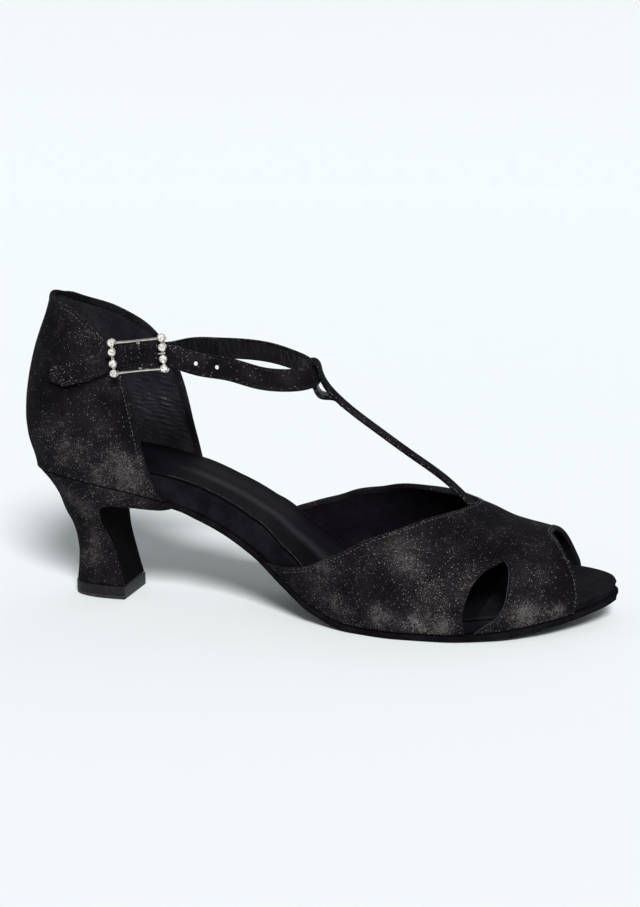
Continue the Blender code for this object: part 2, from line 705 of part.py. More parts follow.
def strap_frames(path, lean):
    """Unit vectors along, outward and up across a strap whose top edge leans in."""
    along = unit(np.gradient(path, axis=0))
    outward = unit(np.cross(np.array([0, 0, 1.0]), along))
    up = np.cross(along, outward)
    angle = np.radians(lean)[:, None]
    return along, outward * np.cos(angle) + up * np.sin(angle), up * np.cos(angle) - outward * np.sin(angle)


def strap(name, path, outward, across, width, thickness, look, cut=None):
    """A flat strap along the path; cut moves each column of its last end along the strap."""
    columns = np.array([-0.5, 0, 0.5])
    middle = path[:, None, :] + across[:, None, :] * (width * columns)[:, None]
    if cut is not None:
        way = unit(path[-1] - path[-2])
        middle[-1] += way * np.array(cut)[:, None]
    step = outward[:, None, :] * thickness / 2
    return sheet(name, middle + step, middle - step, look)


def buckle_frame():
    """Origin and axes of the buckle: along the strap to the toe, up across it, and outward."""
    pitch = math.radians(BUCKLE_PITCH)
    lean = math.radians(CUP_LEAN)
    along = np.array([math.cos(pitch), 0.06, math.sin(pitch)])
    along /= np.linalg.norm(along)
    outward = np.array([0, -math.cos(lean), math.sin(lean)])
    outward = unit(outward - along * (outward @ along))
    up = np.cross(outward, along)
    x = SOLE_LENGTH * BUCKLE_ALONG
    z = seam(x) + BUCKLE_RISE * (collar_top() - seam(x))
    left = x - BUCKLE_LENGTH / 2
    seat = cup_point(np.array(left), rise_at(left, z), -1.0, GAP + UPPER_WALL)
    origin = np.array([x, seat[1], z]) + outward * buckle_stand()
    return origin, along, up, outward


def buckle_stand():
    """Height of the buckle's middle over the cup: chape, strap and half a bar, with their clearances."""
    return 3 * GAP + CHAPE_THICKNESS + ANKLE_STRAP_THICKNESS + BUCKLE_BAR / 2


def centre_bar_out():
    """Outward place of the centre bar, whose outer half is sunk into the rails."""
    return -BUCKLE_BAR / 2 - CENTRE_BAR_DIAMETER / 2 + GAP / 2


def strap_out(along):
    """Outward place of the strap's middle in the buckle: under the side bars and over the centre bar."""
    low = -(BUCKLE_BAR / 2 + GAP + ANKLE_STRAP_THICKNESS / 2)
    high = centre_bar_out() + CENTRE_BAR_DIAMETER / 2 + GAP + ANKLE_STRAP_THICKNESS / 2
    return low + (high - low) * math.cos(math.pi * min(abs(along) / BUCKLE_LENGTH, 0.5)) ** 2


def in_buckle(along, up, outward):
    origin, u, v, n = buckle_frame()
    return origin + u * along + v * up + n * outward


def on_cup(along, height, side, lift):
    """Point over the cup's outer surface, from shares of SOLE_LENGTH and COUNTER_HEIGHT."""
    x = SOLE_LENGTH * along
    z = seam(x) + height * (collar_top() - seam(x))
    return cup_point(np.array(x), rise_at(x, z), side, GAP + UPPER_WALL + lift)


def ankle_path():
    """Middle line of the ankle strap with its lean, from the inner root to the tip of the tail."""
    rest = STRAP_LIFT + ANKLE_STRAP_THICKNESS / 2
    rows = [(*on_cup(along, height, 1.0, rest), CUP_LEAN) for along, height in ANKLE_ROOT]
    for along, across, height, lean in ANKLE_ROUTE:
        z = seam(0.0) + COUNTER_HEIGHT * height
        rows.append((SOLE_LENGTH * along, BALL_WIDTH * across, z, lean))
    for share in (0.5, 0.25, 0.0, -0.25, -0.5):
        along = share * BUCKLE_LENGTH
        drop = STRAP_DROP * max(2 * share, 0.0)
        rows.append((*in_buckle(along, -drop, strap_out(along)), CUP_LEAN))
    rows += [(*on_cup(along, height, -1.0, rest), CUP_LEAN) for along, height in ANKLE_TAIL]
    return smooth_path(rows, ANKLE_STATIONS)


def build_ankle_strap(look):
    """Ankle strap from its root round the front and through the buckle, with punched holes."""
    rows = ankle_path()
    path = rows[:, :3]
    _, outward, up = strap_frames(path, rows[:, 3])
    made = strap("ankle_strap", path, outward, up, ANKLE_STRAP_WIDTH, ANKLE_STRAP_THICKNESS, look,
                 cut=(-TAIL_CUT, 0.0, -TAIL_TOP_CUT))
    lengths = np.concatenate([[0], np.cumsum(np.linalg.norm(np.diff(path, axis=0), axis=1))])
    centre = int(np.argmin(np.linalg.norm(path - in_buckle(0.0, 0.0, strap_out(0.0)), axis=1)))
    for number, place in enumerate(HOLE_PLACES):
        at = lengths[centre] - place * HOLE_PITCH
        point = np.array([np.interp(at, lengths, path[:, axis]) for axis in range(3)])
        normal = outward[int(np.argmin(np.abs(lengths - at)))]
        ends = np.array([point - normal * 2 * ANKLE_STRAP_THICKNESS, point + normal * 2 * ANKLE_STRAP_THICKNESS])
        cutter = tube(f"hole_{number}", ends, [HOLE_DIAMETER / 2] * 2, 8, look)
        boolean(made, cutter, "DIFFERENCE")
    slot = np.array([in_buckle(a, 0.0, n) for a, n in ((0.19 * BUCKLE_LENGTH, -0.0045), (0.47 * BUCKLE_LENGTH, 0.0016))])
    cutter = tube("prong_hole", slot, [PRONG_DIAMETER / 2 + 2 * GAP] * 2, 10, look)
    boolean(made, cutter, "DIFFERENCE")
    return made


def crossing():
    """Point and axes of the ankle strap where the T strap goes round it."""
    rows = ankle_path()
    path = rows[:, :3]
    along, outward, up = strap_frames(path, rows[:, 3])
    front = int(np.argmax(path[:, 0]))
    place = front + int(np.argmin(np.abs(path[front : front + 12, 1] - BALL_WIDTH * T_STRAP_ACROSS)))
    return path[place], along[place], outward[place], up[place]


def t_strap_path():
    """Middle line of the T strap and, for each point, how far it has turned to the ankle strap."""
    centre, _, out, up = crossing()
    clear = ANKLE_STRAP_THICKNESS / 2 + LOOP_EASE + T_STRAP_THICKNESS / 2
    tall = ANKLE_STRAP_WIDTH / 2
    throat = SOLE_LENGTH * VAMP_EDGE["throat"](0.5)
    below = UPPER_WALL + 2 * GAP + T_STRAP_THICKNESS / 2
    middle = np.array(0.5)
    rows = []
    for share in (1.0, 0.5, 0.0):
        x = np.array(throat + T_STRAP_ROOT * share)
        rows.append(vamp_point(x, middle) - below * vamp_normal(x, middle))
    start = rows[-1]
    front = centre + out * clear - up * tall * 0.9
    way = front - start
    droop = unit(np.cross(np.array([0, 1.0, 0]), way))
    for share, sag in T_STRAP_BENDS:
        rows.append(start + way * share - droop * T_STRAP_SAG * sag)
    rows.append(front)
    behind = clear + LOOP_BACK
    over = ((clear, 0.0), (clear, 0.85), (0.6 * clear, 0.9 * LOOP_TOP), (0.0, LOOP_TOP),
            (-0.7 * behind, 0.94 * LOOP_TOP), (-behind, 0.80), (-behind, -0.75))
    rows += [centre + out * a + up * tall * b for a, b in over]
    fold = T_STRAP_THICKNESS + 2 * GAP
    rows.append(front - way * 0.05 - droop * fold * 1.5 - out * clear)
    rows.append(front - unit(way) * FOLD_LENGTH * 0.62 - droop * fold)
    rows.append(front - unit(way) * FOLD_LENGTH - droop * fold)
    turned = [0, 0, 0, 0, 0, 0, 0.08, 0.5, 1, 1, 1, 1, 1, 1, 1, 1, 0.8, 0.5, 0.3]
    return smooth_path([(*row, turn) for row, turn in zip(rows, turned)], T_STATIONS)


def build_t_strap(look):
    """T strap with its end folded round the ankle strap."""
    rows = t_strap_path()
    path = rows[:, :3]
    turn = smooth_step(rows[:, 3:])
    along = unit(np.gradient(path, axis=0))
    across = np.array([0, 1.0, 0]) * (1 - turn) - crossing()[1] * turn
    across = unit(across - along * np.sum(across * along, axis=1)[:, None])
    return strap("t_strap", path, np.cross(across, along), across, T_STRAP_WIDTH, T_STRAP_THICKNESS, look)


# Buckle


def stone_places():
    inner = (PRONG_SPACE + STONE_DIAMETER) / 2
    outer = inner + STONE_PITCH
    return (-outer, -inner, inner, outer)


def build_buckle(look):
    """Buckle frame: two bars of stone cups, two bowed rails and the centre bar, all in one piece."""
    places = stone_places()
    half = BUCKLE_LENGTH / 2
    ups = np.linspace(places[0], places[-1], 2)
    made = tube("buckle_frame", np.array([in_buckle(half, v, 0.0) for v in ups]), [BUCKLE_BAR / 2] * 2, 8, look)
    bar = tube("buckle_bar", np.array([in_buckle(-half, v, 0.0) for v in ups]), [BUCKLE_BAR / 2] * 2, 8, look)
    pieces = []
    for v in (places[0], places[-1]):
        alongs = np.linspace(-half, half, 9)
        bows = v * (1 - RAIL_BOW / abs(v) * np.cos(np.pi * alongs / BUCKLE_LENGTH))
        rail = np.array([in_buckle(a, bow, 0.0) for a, bow in zip(alongs, bows)])
        pieces.append(tube("buckle_rail", rail, [RAIL_DIAMETER / 2] * len(rail), 8, look))
    pieces.append(bar)
    low = centre_bar_out()
    wide = places[-1] - RAIL_BOW
    bend = CENTRE_BAR_DIAMETER / 3
    rows = [(-wide, 0.0), (-wide, low + bend), (-wide + bend, low), (wide - bend, low), (wide, low + bend), (wide, 0.0)]
    path = np.array([in_buckle(0.0, v, n) for v, n in rows])
    pieces.append(tube("buckle_centre", path, [CENTRE_BAR_DIAMETER / 2] * len(rows), 8, look))
    for a in (-half, half):
        for v in places:
            ends = [in_buckle(a, v, -BUCKLE_BAR * 0.45), in_buckle(a, v, BUCKLE_BAR * 0.55)]
            pieces.append(tube("stone_cup", np.array(ends), [STONE_DIAMETER * 0.5] * 2, 12, look))
    for piece in pieces:
        boolean(made, piece, "UNION")
    return made


def build_stones(look):
    """Round cut stones on the two bars."""
    sides = 10
    angles = np.linspace(0, 2 * math.pi, sides, endpoint=False)
    base = BUCKLE_BAR * 0.55 + GAP
    rings = ((0.0, 0.42), (0.35, 0.5), (0.55, 0.5), (1.0, 0.3))
    number = 0
    for a in (-BUCKLE_LENGTH / 2, BUCKLE_LENGTH / 2):
        for v in stone_places():
            number += 1
            verts = []
            for turn, (height, radius) in enumerate(rings):
                for angle in angles + (turn % 2) * math.pi / sides:
                    reach = STONE_DIAMETER * radius
                    n = base + STONE_HEIGHT * height
                    verts.append(in_buckle(a + reach * math.cos(angle), v + reach * math.sin(angle), n))
            faces = [tuple(range(sides)), tuple(range(3 * sides, 4 * sides))]
            for ring in range(len(rings) - 1):
                for j in range(sides):
                    k = (j + 1) % sides
                    low = ring * sides
                    high = low + sides
                    faces.append((low + j, low + k, high + (j if ring % 2 == 0 else k)))
                    faces.append((high + j, high + k, low + (k if ring % 2 == 0 else j)))
            add_object(f"rhinestone_{number}", verts, faces, look, sharp=8.0)


def build_prong(look):
    """Prong from under the centre bar, up through the strap and onto the toe-side bar."""
    bar = centre_bar_out()
    low = bar - CENTRE_BAR_DIAMETER / 2 - GAP - PRONG_DIAMETER / 2
    high = BUCKLE_BAR / 2 + GAP + PRONG_DIAMETER / 2
    half = BUCKLE_LENGTH / 2
    rows = ((0.0, low), (0.25 * half, low), (0.48 * half, low + 0.0002), (0.70 * half, (low + high) / 2),
            (0.88 * half, high - 0.0004), (1.0 * half, high), (1.12 * half, high))
    path = smooth_path([in_buckle(a, 0.0, n) for a, n in rows], 14)
    radii = PRONG_DIAMETER / 2 * np.interp(np.arange(14), (0, 9, 13), (1, 1, 0.7))
    return tube("buckle_prong", path, radii, 8, look)


def build_chape(look):
    """Short strap from the cup's outer side that hooks round the centre bar, slotted for the prong."""
    bar = centre_bar_out()
    turn = CENTRE_BAR_DIAMETER / 2 + GAP + CHAPE_THICKNESS / 2
    low = bar - turn
    half = BUCKLE_LENGTH / 2
    deep = -buckle_stand() + GAP + CHAPE_THICKNESS / 2
    rows = ((-1.2 * half, deep - GAP), (-1.1 * half, deep - GAP / 2), (-1.0 * half, deep), (-0.55 * half, (deep + low) / 2 - 0.0002),
            (-0.2 * half, low), (0.0, low), (0.75 * turn, bar - 0.68 * turn), (turn, bar), (turn, bar + 0.0002))
    path = smooth_path([in_buckle(a, 0.0, n) for a, n in rows], 22)
    _, _, up, _ = buckle_frame()
    along = unit(np.gradient(path, axis=0))
    outward = np.cross(along, up)
    columns = np.array([-CHAPE_WIDTH / 2, -CHAPE_SLOT / 2, 0.0, CHAPE_SLOT / 2, CHAPE_WIDTH / 2])
    middle = path[:, None, :] + up * columns[:, None]
    step = outward[:, None, :] * CHAPE_THICKNESS / 2
    skip = {(i, j) for i in range(14, 20) for j in (1, 2)}
    return sheet("buckle_chape", middle - step, middle + step, look, skip)


def place_on_floor():
    """Moves everything so that the origin is under the middle of the shoe's box."""
    bpy.context.view_layer.update()
    graph = bpy.context.evaluated_depsgraph_get()
    shown = [ob for ob in bpy.context.scene.objects if ob.type == "MESH" and not ob.hide_render]
    corners = []
    for ob in shown:
        mesh = ob.evaluated_get(graph).to_mesh()
        corners += [tuple(v.co) for v in mesh.vertices]
    corners = np.array(corners)
    low = corners.min(axis=0)
    high = corners.max(axis=0)
    anchor = bpy.data.objects.new("shoe_origin", None)
    bpy.context.scene.collection.objects.link(anchor)
    for ob in list(bpy.context.scene.objects):
        if ob is not anchor:
            ob.parent = anchor
    anchor.location = Vector((-(low[0] + high[0]) / 2, -(low[1] + high[1]) / 2, 0.0))


def main():
    for ob in list(bpy.data.objects):
        bpy.data.objects.remove(ob, do_unlink=True)
    suede = material("black_suede", (0.030, 0.028, 0.032), 0.9)
    wrap = material("board_wrap", (0.035, 0.034, 0.038), 0.85)
    sock = material("sock_leather", (0.030, 0.030, 0.034), 0.45)
    sole = material("sole_suede", (0.028, 0.026, 0.028), 0.95)
    tip = material("tip_rubber", (0.020, 0.020, 0.022), 0.45)
    breast = material("breast_cover", (0.010, 0.010, 0.011), 0.8)
    metal = material("silver", (0.80, 0.79, 0.77), 0.2, 1.0)
    stone = material("clear_stone", (0.90, 0.92, 0.95), 0.05)
    build_outsole(sole)
    build_board(wrap)
    build_sock(sock)
    build_vamp(suede)
    build_counter(suede)
    build_heel(suede)
    build_heel_tip(tip)
    build_breast_cover(breast)
    build_ankle_strap(suede)
    build_t_strap(suede)
    build_buckle(metal)
    build_stones(stone)
    build_prong(metal)
    build_chape(suede)
    place_on_floor()


main()
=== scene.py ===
"""Looks of the ballroom dance shoe: black glitter suede, leather linings, a stone buckle, floor and light.

The functions work in the frame of the part's source, in metres: X = 0 at the back of the heel seat and +X
to the toe, +Y to the inner side, -Y to the outer side where the buckle is. SHIFT moves them to the frame
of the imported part.
"""

import json
import math

import bmesh
import bpy
import numpy as np
from mathutils import Matrix

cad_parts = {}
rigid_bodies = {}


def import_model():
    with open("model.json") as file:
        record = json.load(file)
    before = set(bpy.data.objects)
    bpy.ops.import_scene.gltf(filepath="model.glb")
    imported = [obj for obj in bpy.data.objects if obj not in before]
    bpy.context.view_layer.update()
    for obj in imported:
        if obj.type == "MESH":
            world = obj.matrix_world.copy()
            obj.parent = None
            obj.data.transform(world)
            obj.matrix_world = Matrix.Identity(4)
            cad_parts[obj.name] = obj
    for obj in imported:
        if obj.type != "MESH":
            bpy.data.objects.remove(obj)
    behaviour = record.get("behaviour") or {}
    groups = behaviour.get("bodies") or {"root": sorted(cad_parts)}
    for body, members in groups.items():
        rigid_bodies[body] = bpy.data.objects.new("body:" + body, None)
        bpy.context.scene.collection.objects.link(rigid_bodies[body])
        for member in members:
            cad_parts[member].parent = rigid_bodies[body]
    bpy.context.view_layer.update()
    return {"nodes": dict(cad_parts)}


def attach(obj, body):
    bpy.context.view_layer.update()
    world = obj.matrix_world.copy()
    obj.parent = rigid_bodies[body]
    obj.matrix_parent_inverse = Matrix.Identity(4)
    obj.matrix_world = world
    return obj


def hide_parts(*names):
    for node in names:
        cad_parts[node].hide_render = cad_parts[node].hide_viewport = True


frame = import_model()

SHIFT = np.array([-0.11516968, 0.00159917, 0.0])

# Sole stack and last
SOLE_LENGTH = 0.2305
BALL_WIDTH = 0.077
HEEL_LIFT = 0.0488
TOE_SPRING = 0.0078
TOE_CANT = 0.008
INSTEP_HEIGHT = 0.050
COUNTER_HEIGHT = 0.0675
COLLAR_PEAK = 0.0015
COLLAR_DROP = 0.0007
COLLAR_PEAK_REACH = 0.009
COLLAR_PEAK_START = 0.75
OUTSOLE_THICKNESS = 0.0022
OUTSOLE_EDGE = 0.0004
BOARD_THICKNESS = 0.0088
BOARD_DRAFT = 0.0006
SEAT_DISH = 0.0010
SOCK_THICKNESS = 0.0012
SOCK_INSET = 0.0010
UPPER_WALL = 0.0018
VAMP_BULGE = 0.0016

# Heel, its tip and the cover on its breast
HEEL_TIP_HEIGHT = 0.0052
HEEL_TIP_EDGE = 0.0003
BREAST_COVER = 0.0008
WING_WALL = 0.0024

# Straps
T_STRAP_WIDTH = 0.0066
T_STRAP_THICKNESS = 0.0016
T_STRAP_SAG = 0.0024
T_STRAP_ROOT = 0.009
T_STRAP_ACROSS = 0.015
FOLD_LENGTH = 0.012
STRAP_DROP = 0.0009
SLIT_INNER_SHIFT = 0.028
ANKLE_STRAP_WIDTH = 0.0087
ANKLE_STRAP_THICKNESS = 0.0016
TAIL_CUT = 0.0050
TAIL_TOP_CUT = 0.0018
STRAP_LIFT = 0.0008
HOLE_DIAMETER = 0.0016
HOLE_PITCH = 0.0080

# Buckle
BUCKLE_LENGTH = 0.0196
BUCKLE_PITCH = 6.8
BUCKLE_BAR = 0.0014
RAIL_DIAMETER = 0.0010
RAIL_BOW = 0.0002
CENTRE_BAR_DIAMETER = 0.0012
PRONG_DIAMETER = 0.0008
PRONG_SPACE = 0.0011
STONE_DIAMETER = 0.0032
STONE_PITCH = 0.0036
STONE_HEIGHT = 0.0015
CHAPE_THICKNESS = 0.0009

# Clearance between pieces that touch on the real shoe
GAP = 0.0003


def curve(xs, ys):
    """A smooth function through the points that doesn't overshoot them."""
    steps = np.diff(xs)
    rises = np.diff(ys) / steps
    slopes = np.zeros(len(xs))
    slopes[0] = rises[0]
    slopes[-1] = rises[-1]
    for i in range(1, len(xs) - 1):
        if rises[i - 1] * rises[i] > 0:
            ahead = 2 * steps[i] + steps[i - 1]
            behind = steps[i] + 2 * steps[i - 1]
            slopes[i] = (ahead + behind) / (ahead / rises[i - 1] + behind / rises[i])

    def value(x):
        x = np.clip(x, xs[0], xs[-1])
        i = np.clip(np.searchsorted(xs, x, side="right") - 1, 0, len(xs) - 2)
        t = (x - xs[i]) / steps[i]
        height = ys[i] + (ys[i + 1] - ys[i]) * t**2 * (3 - 2 * t)
        return height + steps[i] * (slopes[i] * t * (1 - t) ** 2 - slopes[i + 1] * t**2 * (1 - t))

    return value


def table(columns, *rows):
    """One smooth function of the first column for each further column."""
    values = np.array(rows, dtype=float)
    return {name: curve(values[:, 0], values[:, i]) for i, name in enumerate(columns) if i}


# Plan and profile of the sole. along is a share of SOLE_LENGTH, half and centre are shares of BALL_WIDTH,
# lift of HEEL_LIFT, spring of TOE_SPRING, board of BOARD_THICKNESS, and welt of the upper's wall.
SOLE = table(
    ("along", "half", "centre", "lift", "spring", "board", "welt"),
    (0.000, 0.290, 0.000, 1.000, 0.00, 0.68, 0.0),
    (0.069, 0.299, 0.000, 0.992, 0.00, 0.70, 0.0),
    (0.147, 0.297, 0.000, 0.928, 0.00, 0.88, 0.0),
    (0.221, 0.281, 0.000, 0.861, 0.00, 0.98, 0.0),
    (0.286, 0.261, 0.003, 0.783, 0.00, 1.00, 0.0),
    (0.351, 0.248, -0.006, 0.656, 0.00, 1.00, 0.0),
    (0.416, 0.260, -0.014, 0.471, 0.00, 1.00, 0.1),
    (0.472, 0.297, -0.024, 0.266, 0.00, 1.00, 0.6),
    (0.528, 0.357, -0.028, 0.096, 0.00, 0.93, 1.0),
    (0.602, 0.436, -0.028, 0.000, 0.00, 0.62, 1.0),
    (0.675, 0.494, -0.026, 0.000, 0.00, 0.49, 1.0),
    (0.749, 0.501, -0.020, 0.000, 0.00, 0.47, 1.0),
    (0.827, 0.461, -0.008, 0.000, 0.24, 0.46, 1.0),
    (0.892, 0.390, 0.010, 0.000, 0.58, 0.42, 1.0),
    (0.948, 0.332, 0.030, 0.000, 0.85, 0.34, 0.6),
    (1.000, 0.273, 0.060, 0.000, 1.00, 0.28, 0.2),
)
# Radii of the round ends of the plan, as shares of BALL_WIDTH and SOLE_LENGTH
HEEL_ROUND = 0.286
TOE_ROUND = 0.152

# Heel cup. rise is a share of COUNTER_HEIGHT from the seam up, lean moves the plan forward by a share of
# COUNTER_HEIGHT, spread widens it, and the reaches are its front edges as shares of SOLE_LENGTH.
CUP = table(
    ("rise", "lean", "spread", "outer_reach", "inner_reach"),
    (0.000, 0.084, 0.930, 0.269, 0.290),
    (0.035, 0.080, 0.955, 0.257, 0.284),
    (0.080, 0.070, 0.980, 0.249, 0.279),
    (0.140, 0.050, 0.995, 0.242, 0.274),
    (0.190, 0.037, 1.000, 0.236, 0.270),
    (0.300, 0.026, 1.000, 0.228, 0.260),
    (0.400, 0.030, 1.000, 0.221, 0.252),
    (0.500, 0.043, 0.985, 0.214, 0.243),
    (0.600, 0.063, 0.965, 0.205, 0.230),
    (0.700, 0.090, 0.940, 0.190, 0.210),
    (0.800, 0.125, 0.910, 0.170, 0.180),
    (0.900, 0.162, 0.875, 0.137, 0.124),
    (0.960, 0.180, 0.850, 0.111, 0.080),
    (1.000, 0.190, 0.835, 0.062, 0.060),
)
# Where the cup's form ends and the waist's begins, as shares of SOLE_LENGTH
CUP_FADE_START = 0.17
CUP_FADE_END = 0.29

# Vamp over the sole. crest is a share of INSTEP_HEIGHT, ridge of BALL_WIDTH, and full and round are the
# powers that square off the section's width and height.
VAMP = table(
    ("along", "crest", "ridge", "full", "round"),
    (0.390, 1.12, 0.04, 1.00, 1.00),
    (0.472, 1.20, 0.05, 1.00, 1.00),
    (0.528, 1.21, 0.05, 0.97, 0.98),
    (0.602, 1.12, 0.05, 0.92, 0.94),
    (0.675, 0.955, 0.05, 0.88, 0.90),
    (0.749, 0.82, 0.05, 0.85, 0.86),
    (0.792, 0.74, 0.05, 0.84, 0.84),
    (0.827, 0.64, 0.05, 0.84, 0.82),
    (0.879, 0.54, 0.05, 0.84, 0.80),
    (0.914, 0.48, 0.05, 0.84, 0.80),
    (0.948, 0.38, 0.06, 0.84, 0.80),
    (0.974, 0.23, 0.06, 0.86, 0.84),
    (1.000, 0.08, 0.06, 0.90, 0.90),
)
# Edges of the vamp. girth runs from 0 at the outer feather line over the top to 1 at the inner one, and
# throat and toe are shares of SOLE_LENGTH.
VAMP_EDGE = table(
    ("girth", "throat", "toe"),
    (0.00, 0.445, 0.947),
    (0.03, 0.478, 0.952),
    (0.07, 0.516, 0.953),
    (0.17, 0.600, 0.949),
    (0.25, 0.664, 0.941),
    (0.34, 0.715, 0.927),
    (0.43, 0.753, 0.910),
    (0.50, 0.770, 0.897),
    (0.60, 0.735, 0.897),
    (0.69, 0.670, 0.903),
    (0.80, 0.553, 0.913),
    (0.88, 0.484, 0.922),
    (0.94, 0.440, 0.930),
    (1.00, 0.402, 0.934),
)
# Leaf-shaped cut-outs at the feather line, the same on both sides, up to their tips
SLIT = table(
    ("girth", "back", "front"),
    (0.000, 0.786, 0.802),
    (0.040, 0.784, 0.838),
    (0.100, 0.790, 0.849),
    (0.180, 0.808, 0.851),
    (0.230, 0.826, 0.848),
    (0.262, 0.840, 0.840),
)
SLIT_TIP = 0.262
SLIT_TIP_ALONG = 0.840

# Heel from its tip up to the seat. level is a share of its height, back, breast and front are shares of
# SOLE_LENGTH, half of BALL_WIDTH, square is the power of its D section, seat is how far it follows the
# seat's plan, and wall is the rim beside the breast as a share of WING_WALL.
HEEL = table(
    ("level", "back", "breast", "front", "half", "square", "seat", "wall"),
    (0.00, 0.0795, 0.174, 0.179, 0.158, 2.30, 0.0, 0.50),
    (0.12, 0.0820, 0.169, 0.174, 0.152, 2.25, 0.0, 0.50),
    (0.25, 0.0833, 0.163, 0.168, 0.150, 2.20, 0.0, 0.50),
    (0.40, 0.0800, 0.155, 0.160, 0.158, 2.15, 0.0, 0.50),
    (0.52, 0.0735, 0.148, 0.153, 0.172, 2.10, 0.1, 0.50),
    (0.64, 0.0625, 0.143, 0.148, 0.192, 2.05, 0.3, 0.60),
    (0.76, 0.0555, 0.141, 0.150, 0.225, 2.00, 0.5, 0.70),
    (0.81, 0.0510, 0.141, 0.163, 0.235, 2.00, 0.6, 0.75),
    (0.85, 0.0465, 0.141, 0.205, 0.245, 2.00, 0.7, 0.80),
    (0.88, 0.0424, 0.141, 0.240, 0.252, 2.00, 0.8, 0.88),
    (0.91, 0.0380, 0.141, 0.262, 0.260, 2.00, 0.9, 0.95),
    (1.00, 0.0195, 0.141, 0.290, 0.275, 2.00, 1.0, 1.00),
)
BREAST_TOP = 0.85

# Holes of the ankle strap, in hole pitches from the buckle
HOLE_PLACES = (3.77, 2.77, 1.77, -0.09, -1.64)
# Middle line of the ankle strap's free part, from its root on the inner side round the front to the
# buckle. along is a share of SOLE_LENGTH, across of BALL_WIDTH, height of COUNTER_HEIGHT from the seam,
# and lean is how far the top edge leans in, in degrees.
ANKLE_ROUTE = (
    (0.255, 0.318, 0.640, 8.0),
    (0.300, 0.302, 0.650, 10.0),
    (0.352, 0.276, 0.653, 13.0),
    (0.405, 0.235, 0.643, 15.0),
    (0.455, 0.165, 0.614, 17.0),
    (0.487, 0.095, 0.590, 18.0),
    (0.500, 0.020, 0.572, 19.0),
    (0.490, -0.065, 0.556, 19.0),
    (0.465, -0.140, 0.556, 18.0),
    (0.425, -0.205, 0.578, 16.0),
    (0.380, -0.260, 0.630, 13.0),
    (0.335, -0.312, 0.662, 10.0),
)
# Root of the strap on the inner side of the cup, and its tail on the outer side: along and height
ANKLE_ROOT = ((0.175, 0.640), (0.215, 0.645))
ANKLE_TAIL = ((0.140, 0.628), (0.110, 0.596), (0.080, 0.552))
CUP_LEAN = 8.0
BUCKLE_ALONG = 0.236
BUCKLE_RISE = 0.728


def smooth_step(t):
    t = np.clip(t, 0, 1)
    return t * t * (3 - 2 * t)


def under(x):
    """Height of the sole's underside on its middle line."""
    share = x / SOLE_LENGTH
    return HEEL_LIFT * SOLE["lift"](share) + TOE_SPRING * SOLE["spring"](share)


def layer(x, depth, y=0.0):
    """Height of a surface at a depth into the sole stack, square to the sole, with the toe's cant."""
    step = SOLE_LENGTH / 1000
    slope = (under(x + step) - under(x - step)) / (2 * step)
    cant = TOE_CANT * SOLE["spring"](x / SOLE_LENGTH) * y / BALL_WIDTH
    return under(x) + depth * np.sqrt(1 + slope**2) + cant


def seam(x, y=0.0):
    """Height of the line where the upper and the board start."""
    return layer(x, OUTSOLE_THICKNESS + GAP, y)


def board_depth(x):
    return OUTSOLE_THICKNESS + GAP + BOARD_THICKNESS * SOLE["board"](x / SOLE_LENGTH)


def collar_top():
    return seam(0.0) + COUNTER_HEIGHT


def rise_at(x, z):
    """Share of the way from the seam up to the collar's top."""
    return (z - seam(x)) / (collar_top() - seam(x))


def outline(x, grow):
    """Half width and middle of the sole's plan, moved out by grow."""
    share = x / SOLE_LENGTH
    heel_radius = HEEL_ROUND * BALL_WIDTH + grow
    toe_radius = TOE_ROUND * SOLE_LENGTH + grow
    heel = np.clip((x + grow) / heel_radius, 0, 1)
    toe = np.clip((SOLE_LENGTH + grow - x) / toe_radius, 0, 1)
    ends = np.sqrt(1 - (1 - heel) ** 2) * np.sqrt(1 - (1 - toe) ** 2)
    return (BALL_WIDTH * SOLE["half"](share) + grow) * ends, BALL_WIDTH * SOLE["centre"](share)


def plan(x, rise, grow):
    """Half width and middle of the shoe's plan at a rise up the heel cup, moved out by grow."""
    fade = (x / SOLE_LENGTH - CUP_FADE_START) / (CUP_FADE_END - CUP_FADE_START)
    cup = 1 - smooth_step(fade)
    half, centre = outline(x - CUP["lean"](rise) * COUNTER_HEIGHT * cup, grow)
    return half * (1 + (CUP["spread"](rise) - 1) * cup), centre


def rear(rise, grow):
    return CUP["lean"](rise) * COUNTER_HEIGHT - grow


def smooth_path(points, count):
    """Points along a natural cubic spline through the rows, at even steps of chord length."""
    points = np.array(points, dtype=float)
    knots = np.concatenate([[0], np.cumsum(np.linalg.norm(np.diff(points[:, :3], axis=0), axis=1))])
    steps = np.diff(knots)
    size = len(points)
    matrix = np.eye(size)
    right = np.zeros_like(points)
    for i in range(1, size - 1):
        matrix[i, i - 1 : i + 2] = steps[i - 1], 2 * (steps[i - 1] + steps[i]), steps[i]
        change = (points[i + 1] - points[i]) / steps[i] - (points[i] - points[i - 1]) / steps[i - 1]
        right[i] = 6 * change
    bends = np.linalg.solve(matrix, right)
    result = []
    for knot in np.linspace(0, knots[-1], count):
        i = min(np.searchsorted(knots, knot, side="right") - 1, size - 2)
        h = steps[i]
        before = knot - knots[i]
        after = h - before
        point = (bends[i] * after**3 + bends[i + 1] * before**3) / (6 * h)
        point += (points[i] / h - bends[i] * h / 6) * after
        point += (points[i + 1] / h - bends[i + 1] * h / 6) * before
        result.append(point)
    return np.array(result)


def unit(vectors):
    return vectors / np.linalg.norm(vectors, axis=-1, keepdims=True)


